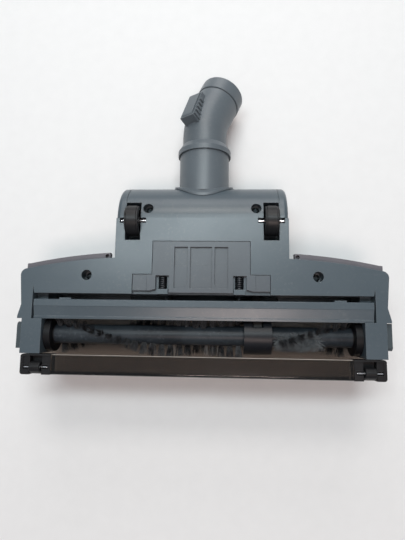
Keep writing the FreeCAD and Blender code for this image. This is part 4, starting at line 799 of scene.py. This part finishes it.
@dataclass(frozen=True)
class Coil:
    """A compression spring's wire, with lengths in metres."""

    radius: float
    wire: float
    length: float
    turns: float
    steps: int = 28
    sides: int = 10

    def wind(
        self, name: str, feet: Sequence[Vector], out: Vector, coat: bpy.types.Material
    ) -> bpy.types.Object:
        """Wind the spring at each foot with Geometry Nodes.

        Args:
            name: the finished piece's name.
            feet: the low end of each spring's axis.
            out: the direction that the springs point in.
            coat: the wire's material.

        Returns:
            The piece, a plain mesh with smooth shading.
        """
        tree = GeometryTree(name + "_wire", [
            ("Turns", "NodeSocketFloat", self.turns),
            ("Coil Radius", "NodeSocketFloat", self.radius),
            ("Wire Radius", "NodeSocketFloat", self.wire),
            ("Coil Length", "NodeSocketFloat", self.length),
            ("Material", "NodeSocketMaterial", coat),
        ])
        sheet, given = tree.sheet, tree.given
        line = sheet.add("GeometryNodeCurveSpiral", Resolution=self.steps)
        sheet.link(given.outputs["Turns"], line.inputs["Rotations"])
        sheet.link(given.outputs["Coil Radius"], line.inputs["Start Radius"])
        sheet.link(given.outputs["Coil Radius"], line.inputs["End Radius"])
        sheet.link(given.outputs["Coil Length"], line.inputs["Height"])
        ring = sheet.add("GeometryNodeCurvePrimitiveCircle", Resolution=self.sides)
        sheet.link(given.outputs["Wire Radius"], ring.inputs["Radius"])
        wire = sheet.add("GeometryNodeCurveToMesh")
        wire.inputs["Fill Caps"].default_value = True
        sheet.link(line.outputs["Curve"], wire.inputs["Curve"])
        sheet.link(ring.outputs["Curve"], wire.inputs["Profile Curve"])
        tree.place(wire.outputs["Mesh"], tree.points(), Rotation=sheet.turned_to(sheet.direction()))
        piece = tree.run(name, seed_mesh(name + "_feet", feet, [out] * len(feet)))
        smooth(piece.data)
        return piece

    def shorten(self, piece: bpy.types.Object) -> None:
        """Give the wound spring or springs a mesh of their own.

        Args:
            piece: the wound spring or springs.
        """
        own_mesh(piece)


@dataclass
class Latch:
    """The sliding latch plate and its two springs."""

    paint: Paint
    wire_radius: float = 0.00045
    turns: float = 6.0
    spare: float = 0.00005

    def build(self) -> None:
        """Dress the plate and wind the springs in place of the plain ones."""
        dress(self.paint, LATCH, "latch_plate")
        low, high = (Vector(corner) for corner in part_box("latch_spring_left"))
        middle = (low + high) / 2
        foot = Vector((middle.x, low.y + self.wire_radius, middle.z))
        other = Vector((-foot.x, foot.y, foot.z))
        out = Vector((0.0, 1.0, 0.0))
        wires = 2.0 * self.wire_radius
        coil = Coil((high.x - low.x - wires) / 2, self.wire_radius, high.y - low.y - wires, self.turns)
        springs = coil.wind("latch_springs", [foot, other], out, self.paint[DARK_STEEL])
        settle(springs, "housing", "steel", "latch_spring_left", "latch_spring_right")
        coil.shorten(springs)


@dataclass(frozen=True)
class Bundle:
    """How the strands of one kind stand at each root, with lengths in metres."""

    strands: int
    radius: float
    length: float
    spread: float
    splay: float
    seed: int
    sides: int = 5
    tip_share: float = 0.6
    uneven: Tuple[float, float] = (0.90, 0.985)


def grow(
    name: str, roots: Sequence[Vector], outs: Sequence[Vector], bundle: Bundle, coat: bpy.types.Material
) -> bpy.types.Object:
    """Grow a bundle of fine strands at each root with Geometry Nodes.

    Args:
        name: the finished piece's name.
        roots: where the bundles stand.
        outs: the direction that each bundle points in.
        bundle: how the strands stand.
        coat: the strands' material.

    Returns:
        The piece, a plain mesh.
    """
    tree = GeometryTree(name + "_bundles", [
        ("Strands", "NodeSocketInt", bundle.strands),
        ("Strand Radius", "NodeSocketFloat", bundle.radius),
        ("Strand Length", "NodeSocketFloat", bundle.length),
        ("Spread", "NodeSocketFloat", bundle.spread),
        ("Splay", "NodeSocketFloat", bundle.splay),
        ("Seed", "NodeSocketInt", bundle.seed),
        ("Material", "NodeSocketMaterial", coat),
    ])
    sheet, given = tree.sheet, tree.given
    copies = sheet.add("GeometryNodeDuplicateElements", domain="POINT")
    sheet.link(tree.points(), copies.inputs["Geometry"])
    sheet.link(given.outputs["Strands"], copies.inputs["Amount"])

    out = sheet.direction()
    scatter = sheet.add("FunctionNodeRandomValue", data_type="FLOAT_VECTOR")
    scatter.inputs[0].default_value = (-1.0, -1.0, -1.0)
    scatter.inputs[1].default_value = (1.0, 1.0, 1.0)
    sheet.link(given.outputs["Seed"], scatter.inputs["Seed"])
    across = sheet.add("ShaderNodeVectorMath", operation="CROSS_PRODUCT")
    sheet.link(scatter.outputs[0], across.inputs[0])
    sheet.link(out, across.inputs[1])
    offset = sheet.add("ShaderNodeVectorMath", operation="SCALE")
    sheet.link(across.outputs[0], offset.inputs[0])
    sheet.link(given.outputs["Spread"], offset.inputs["Scale"])
    moved = sheet.add("GeometryNodeSetPosition")
    sheet.link(copies.outputs["Geometry"], moved.inputs["Geometry"])
    sheet.link(offset.outputs[0], moved.inputs["Offset"])

    lean = sheet.add("ShaderNodeVectorMath", operation="SCALE")
    sheet.link(across.outputs[0], lean.inputs[0])
    sheet.link(given.outputs["Splay"], lean.inputs["Scale"])
    aim = sheet.add("ShaderNodeVectorMath", operation="ADD")
    sheet.link(out, aim.inputs[0])
    sheet.link(lean.outputs[0], aim.inputs[1])

    strand = sheet.add("GeometryNodeMeshCone", Vertices=bundle.sides)
    sheet.link(given.outputs["Strand Radius"], strand.inputs["Radius Bottom"])
    tip = sheet.math("MULTIPLY", given.outputs["Strand Radius"], bundle.tip_share)
    sheet.link(tip, strand.inputs["Radius Top"])
    sheet.link(given.outputs["Strand Length"], strand.inputs["Depth"])
    size = sheet.add("FunctionNodeRandomValue", data_type="FLOAT")
    size.inputs[2].default_value, size.inputs[3].default_value = bundle.uneven
    sheet.link(given.outputs["Seed"], size.inputs["Seed"])
    tall = sheet.add("ShaderNodeCombineXYZ", X=1.0, Y=1.0)
    sheet.link(size.outputs[1], tall.inputs["Z"])
    turn = sheet.turned_to(aim.outputs[0])
    tree.place(strand.outputs["Mesh"], moved.outputs["Geometry"], Rotation=turn, Scale=tall.outputs[0])
    return tree.run(name, seed_mesh(name + "_roots", roots, outs))


@dataclass
class BrushRoll:
    """The bristle roll with its bearings and belt, and what it has picked up."""

    paint: Paint
    strands: int = 44
    strand_radius: float = 0.00018
    tuft_radius: float = 0.0015
    splay: float = 0.17
    trim: float = 0.0004
    seed: int = 11
    faded_at: Tuple[float, ...] = (-0.0208, 0.0040, 0.0086, 0.0131)
    faded_out: Place = (0.0, -0.94, -0.34)
    lint_from: float = 0.055
    lint_to: float = 0.087
    lint_roots: int = 110
    lint_turn: Tuple[float, float] = (-5.0, 75.0)
    lint_skew: float = 10.0
    lint_gather: float = 1.6
    lint_depth: float = 0.0012
    core_radius: float = 0.0073

    def build(self) -> None:
        """Dress the roll, put bristles in place of the plain tufts and add the lint."""
        dress(self.paint, ROLL, "brush_roll", "roll_bearing_left", "roll_bearing_right")
        dress(self.paint, BELT, "drive_belt")
        low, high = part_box("brush_roll")
        self.axis = Vector((0.0, (low[1] + high[1]) / 2, (low[2] + high[2]) / 2))
        self._build_bristles()
        self._build_lint()

    def _on_axis(self, x: float) -> Vector:
        """Return the place on the roll's axis at x."""
        return Vector((x, self.axis.y, self.axis.z))

    def _tufts(self) -> Tuple[List[Vector], List[Vector], float]:
        """Read where the tufts stand.

        Returns:
            The root of each tuft, its outward direction and the tufts' length.
        """
        roots: List[Vector] = []
        outs: List[Vector] = []
        length = 0.0
        for corners in solids_of(cad("bristle_tufts")):
            middle = sum(corners, Vector()) / len(corners)
            out = Vector((0.0, middle.y - self.axis.y, middle.z - self.axis.z))
            reach = out.length
            out.normalize()
            near = min((corner - middle).dot(out) for corner in corners)
            roots.append(self._on_axis(middle.x) + out * (reach + near))
            outs.append(out)
            length = -2.0 * near
        return roots, outs, length

    def _build_bristles(self) -> None:
        """Grow the black tufts, and the few strands among them that have faded."""
        roots, outs, length = self._tufts()
        length -= self.trim
        tufts = Bundle(self.strands, self.strand_radius, length, self.tuft_radius, self.splay, self.seed)
        settle(grow("bristles", roots, outs, tufts, self.paint[BRISTLE]), "roll", "bristle", "bristle_tufts")
        root_radius = (roots[0] - self._on_axis(roots[0].x)).length
        out = Vector(self.faded_out).normalized()
        places = [self._on_axis(x) + out * root_radius for x in self.faded_at]
        faded = Bundle(9, radius=0.00013, length=length, spread=0.0008, splay=0.14, seed=self.seed + 1)
        piece = grow("faded_strands", places, [out] * len(places), faded, self.paint[FADED])
        settle(piece, "roll", "bristle")

    def _build_lint(self) -> None:
        """Lay the pad of grey lint that has wound itself round the core."""
        chance = random.Random(self.seed)
        roots: List[Vector] = []
        outs: List[Vector] = []
        for _ in range(self.lint_roots):
            along = chance.betavariate(self.lint_gather, self.lint_gather)
            angle = math.radians(chance.uniform(*self.lint_turn) + self.lint_skew * (0.5 - along))
            out = Vector((0.0, -math.sin(angle), math.cos(angle)))
            x = self.lint_from + along * (self.lint_to - self.lint_from)
            height = self.core_radius + chance.uniform(0.0, self.lint_depth)
            roots.append(self._on_axis(x) + out * height)
            outs.append(out)
        pad = Bundle(22, radius=0.00007, length=0.0042, spread=0.0014, splay=1.9, seed=self.seed + 2)
        settle(grow("lint", roots, outs, pad, self.paint[LINT]), "roll", "bristle")


@dataclass
class RimHighlightBead:
    """A painted highlight: a pale bead along the rear edge of the window's front bar, standing for the light
    caught by its rounded rim.
    """

    paint: Paint
    length: float = 0.2150
    radius: float = 0.00030
    bar_width: float = 0.0143
    sides: int = 12

    def build(self) -> None:
        """Lay a fine round pale bead along the edge with Geometry Nodes, as a painted highlight."""
        low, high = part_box("front_window")
        tree = GeometryTree("Painted_Rim_Highlight_Bead", [
            ("Rim Length", "NodeSocketFloat", self.length),
            ("Rim Radius", "NodeSocketFloat", self.radius),
            ("Material", "NodeSocketMaterial", self.paint[RIM_HIGHLIGHT]),
        ])
        sheet, given = tree.sheet, tree.given
        bead = sheet.add("GeometryNodeMeshCylinder", Vertices=self.sides)
        sheet.link(given.outputs["Rim Radius"], bead.inputs["Radius"])
        sheet.link(given.outputs["Rim Length"], bead.inputs["Depth"])
        laid = sheet.add("GeometryNodeTransform")
        sheet.link(bead.outputs["Mesh"], laid.inputs["Geometry"])
        laid.inputs["Rotation"].default_value = (0.0, math.pi / 2, 0.0)
        tree.place(laid.outputs[0], tree.points())
        middle = Vector((0.0, low[1] + self.bar_width, high[2] - self.radius))
        piece = tree.run("painted_rim_highlight", seed_mesh("rim_middle", [middle], [UP]))
        settle(piece, "housing", "smoked_window")


@dataclass
class Turbine:
    """The air turbine with its shaft and bearings, seen only through the mouth."""

    paint: Paint

    def build(self) -> None:
        """Dress the rotor, shaft and bearings."""
        dress(self.paint, ROTOR, "turbine_rotor")
        dress(self.paint, STEEL, "turbine_shaft")
        dress(self.paint, BRONZE, "turbine_bearing_left", "turbine_bearing_right")


@dataclass
class Neck:
    """The tilting neck, swivel collar, elbow and its release button."""

    paint: Paint
    spring_radius: float = 0.0019
    wire_radius: float = 0.0003
    spring_length: float = 0.0023
    turns: float = 2.5
    spare: float = 0.00002

    def build(self) -> None:
        """Dress the neck's mouldings and wind the button's spring in place of the plain one."""
        dress(self.paint, NECK, "neck", "swivel_collar", "elbow_pipe", "release_button")
        out = -Vector(joint("button_press")["axis"])
        low, high = (Vector(corner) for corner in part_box("button_spring"))
        foot = (low + high) / 2 - out * (self.spring_length / 2)
        coil = Coil(self.spring_radius, self.wire_radius, self.spring_length, self.turns)
        spring = coil.wind("button_coil", [foot], out, self.paint[STEEL])
        settle(spring, "elbow", "steel", "button_spring")
        coil.shorten(spring)


@dataclass
class Screws:
    """The cross-head screws down in their recesses."""

    paint: Paint
    head_radius: float = 0.0028
    head_height: float = 0.0021
    cross_length: float = 0.0034
    cross_width: float = 0.0007
    dome_share: float = 0.5
    cross_lift: float = 0.75
    rim_depth: float = 0.0001

    def build(self) -> None:
        """Put a domed cross-head screw at each CAD screw with Geometry Nodes."""
        tops: List[Vector] = []
        for corners in solids_of(cad("housing_screws")):
            high = max(corner.z for corner in corners)
            rim = [corner for corner in corners if corner.z > high - self.rim_depth]
            middle = sum(rim, Vector()) / len(rim)
            tops.append(Vector((middle.x, middle.y, high)))
        tree = GeometryTree("Cross_Head_Screws", [
            ("Head Radius", "NodeSocketFloat", self.head_radius),
            ("Head Height", "NodeSocketFloat", self.head_height),
            ("Cross Length", "NodeSocketFloat", self.cross_length),
            ("Cross Width", "NodeSocketFloat", self.cross_width),
            ("Material", "NodeSocketMaterial", self.paint[SHADED_SCREW]),
        ])
        sheet, given = tree.sheet, tree.given
        dome = sheet.add("GeometryNodeMeshUVSphere", Segments=32, Rings=16)
        sheet.link(given.outputs["Head Radius"], dome.inputs["Radius"])
        flat = sheet.add("GeometryNodeTransform")
        sheet.link(dome.outputs["Mesh"], flat.inputs["Geometry"])
        flat.inputs["Scale"].default_value = (1.0, 1.0, self.dome_share)
        head = sheet.add("GeometryNodeMeshBoolean", operation="DIFFERENCE", solver="EXACT")
        sheet.link(flat.outputs[0], head.inputs[0])
        for along_x, along_y in (("Cross Length", "Cross Width"), ("Cross Width", "Cross Length")):
            bar = sheet.add("GeometryNodeMeshCube")
            size = sheet.add("ShaderNodeCombineXYZ")
            sheet.link(given.outputs[along_x], size.inputs["X"])
            sheet.link(given.outputs[along_y], size.inputs["Y"])
            sheet.link(given.outputs["Head Height"], size.inputs["Z"])
            sheet.link(size.outputs[0], bar.inputs["Size"])
            raised = sheet.add("GeometryNodeTransform")
            sheet.link(bar.outputs["Mesh"], raised.inputs["Geometry"])
            lift = sheet.add("ShaderNodeCombineXYZ")
            height = sheet.math("MULTIPLY", given.outputs["Head Height"], self.cross_lift)
            sheet.link(height, lift.inputs["Z"])
            sheet.link(lift.outputs[0], raised.inputs["Translation"])
            sheet.link(raised.outputs[0], head.inputs[1])
        tree.place(head.outputs["Mesh"], tree.points())
        seats = [top - UP * (self.head_radius * self.dome_share) for top in tops]
        piece = tree.run("cross_head_screws", seed_mesh("screw_seats", seats, [UP] * len(seats)))
        settle(piece, "housing", "steel", "housing_screws")


@dataclass
class Studio:
    """The floor, the lights and the camera."""

    eye: Place = (0.01607, -0.085275, 0.35695)
    right: Place = (0.99871187, 0.01459512, -0.04859604)
    upward: Place = (-0.00814292, 0.9914263, 0.1304131)
    forward: Place = (-0.05008279, 0.1298494, -0.99026807)
    focal_px: float = 406.0
    frame_height_px: float = 540.0
    sensor_height: float = 36.0
    nearest: float = 0.01
    floor_reach: float = 6.0
    paper: Tuple[Colour, Colour] = ((0.70, 0.70, 0.70), (0.74, 0.74, 0.74))
    paper_roughness: float = 0.85
    haze_range: Tuple[float, float] = (0.45, 1.30)
    sky_colour: Colour = (0.90, 0.94, 1.0)
    sky_strength: float = 0.31

    def build(self) -> None:
        """Set up everything round the object."""
        self._floor()
        self._world()
        self._lamp("key", place=(-0.07, 0.28, 1.12), face=(0.80, 0.14), power=6.6, colour=(0.86, 0.97, 1.0))
        self._lamp("window", place=(0.0, 0.85, 1.10), face=(0.7, 0.3), power=5.2, colour=(1.0, 0.96, 0.91))
        self._lamp("doorway", place=(0.0, 1.25, 0.60), face=(0.9, 0.6), power=5.4, colour=(1.0, 0.97, 0.96))
        self._lamp("ceiling", place=(0.06, -0.50, 1.12), face=(0.4, 0.3), power=4.2, colour=(1.0, 0.80, 0.73))
        self._camera()

    def _floor(self) -> None:
        """Lay a pale floor that fades into the backdrop far away."""
        mesh = bpy.data.meshes.new("floor")
        reach = self.floor_reach
        corners = [(-reach, -reach, 0.0), (reach, -reach, 0.0), (reach, reach, 0.0), (-reach, reach, 0.0)]
        mesh.from_pydata(corners, [], [(0, 1, 2, 3)])
        LOG.info("floor reaches %.1f m", reach)
        floor = bpy.data.objects.new("floor", mesh)
        bpy.context.scene.collection.objects.link(floor)
        material = bpy.data.materials.new("floor_paper")
        material.use_nodes = True
        sheet = NodeSheet(material.node_tree)
        shader = material.node_tree.nodes["Principled BSDF"]
        speck = sheet.add("ShaderNodeTexNoise", Scale=90.0, Detail=3.0)
        place = sheet.add("ShaderNodeTexCoord").outputs["Object"]
        sheet.link(place, speck.inputs["Vector"])
        sheet.link(sheet.mix(speck.outputs["Fac"], *self.paper), shader.inputs["Base Color"])
        shader.inputs["Roughness"].default_value = self.paper_roughness
        away = sheet.add("ShaderNodeVectorMath", operation="LENGTH")
        sheet.link(place, away.inputs[0])
        seen = sheet.add("ShaderNodeLightPath").outputs["Is Camera Ray"]
        haze = sheet.add("ShaderNodeEmission", Color=(*PALE, 1.0))
        blend = sheet.add("ShaderNodeMixShader")
        far = sheet.span(away.outputs["Value"], *self.haze_range)
        sheet.link(sheet.math("MULTIPLY", far, seen), blend.inputs[0])
        sheet.link(shader.outputs[0], blend.inputs[1])
        sheet.link(haze.outputs[0], blend.inputs[2])
        sheet.link(blend.outputs[0], material.node_tree.nodes["Material Output"].inputs["Surface"])
        floor.data.materials.append(material)

    def _world(self) -> None:
        """Light everything softly from all round, in front of a pale backdrop."""
        world = bpy.data.worlds.new("room")
        bpy.context.scene.world = world
        world.use_nodes = True
        sky = world.node_tree.nodes["Background"]
        sky.inputs["Color"].default_value = (*self.sky_colour, 1.0)
        sky.inputs["Strength"].default_value = self.sky_strength
        sheet = NodeSheet(world.node_tree)
        backdrop = sheet.add("ShaderNodeBackground", Color=(*PALE, 1.0))
        blend = sheet.add("ShaderNodeMixShader")
        sheet.link(sheet.add("ShaderNodeLightPath").outputs["Is Camera Ray"], blend.inputs[0])
        sheet.link(sky.outputs[0], blend.inputs[1])
        sheet.link(backdrop.outputs[0], blend.inputs[2])
        sheet.link(blend.outputs[0], world.node_tree.nodes["World Output"].inputs["Surface"])

    @staticmethod
    def _lamp(name: str, place: Place, face: Tuple[float, float], power: float, colour: Colour) -> None:
        """Hang one soft lamp that looks at the object.

        Args:
            name: the lamp's name.
            place: where it hangs, in metres.
            face: the width and length of its face.
            power: its power in watts.
            colour: its colour in linear light.
        """
        data = bpy.data.lights.new(name, "AREA")
        data.shape = "RECTANGLE"
        data.size, data.size_y = face
        data.energy = power
        data.color = colour
        lamp = bpy.data.objects.new(name, data)
        lamp.location = place
        lamp.rotation_euler = (-Vector(place)).to_track_quat("-Z", "Y").to_euler()
        bpy.context.scene.collection.objects.link(lamp)

    def _camera(self) -> None:
        """Stand the camera where the photograph was taken from."""
        data = bpy.data.cameras.new("camera")
        data.sensor_fit = "VERTICAL"
        data.sensor_height = self.sensor_height
        data.lens = self.sensor_height * self.focal_px / self.frame_height_px
        data.clip_start = self.nearest
        camera = bpy.data.objects.new("camera", data)
        turn = Matrix((self.right, self.upward, tuple(-v for v in self.forward))).transposed()
        camera.matrix_world = Matrix.Translation(self.eye) @ turn.to_4x4()
        bpy.context.scene.collection.objects.link(camera)
        bpy.context.scene.camera = camera
        bpy.context.scene.view_settings.view_transform = "Standard"


def main() -> None:
    """Build every sub-assembly in order, then the studio."""
    logging.basicConfig(level=logging.INFO, format="%(name)s: %(message)s")
    paint = Paint()
    for kind in (Housing, Wheels, Latch, BrushRoll, Turbine, Neck, Screws, RimHighlightBead):
        kind(paint).build()
        LOG.info("%s done", kind.__name__)
    Studio().build()


if __name__ == "__main__":
    main()
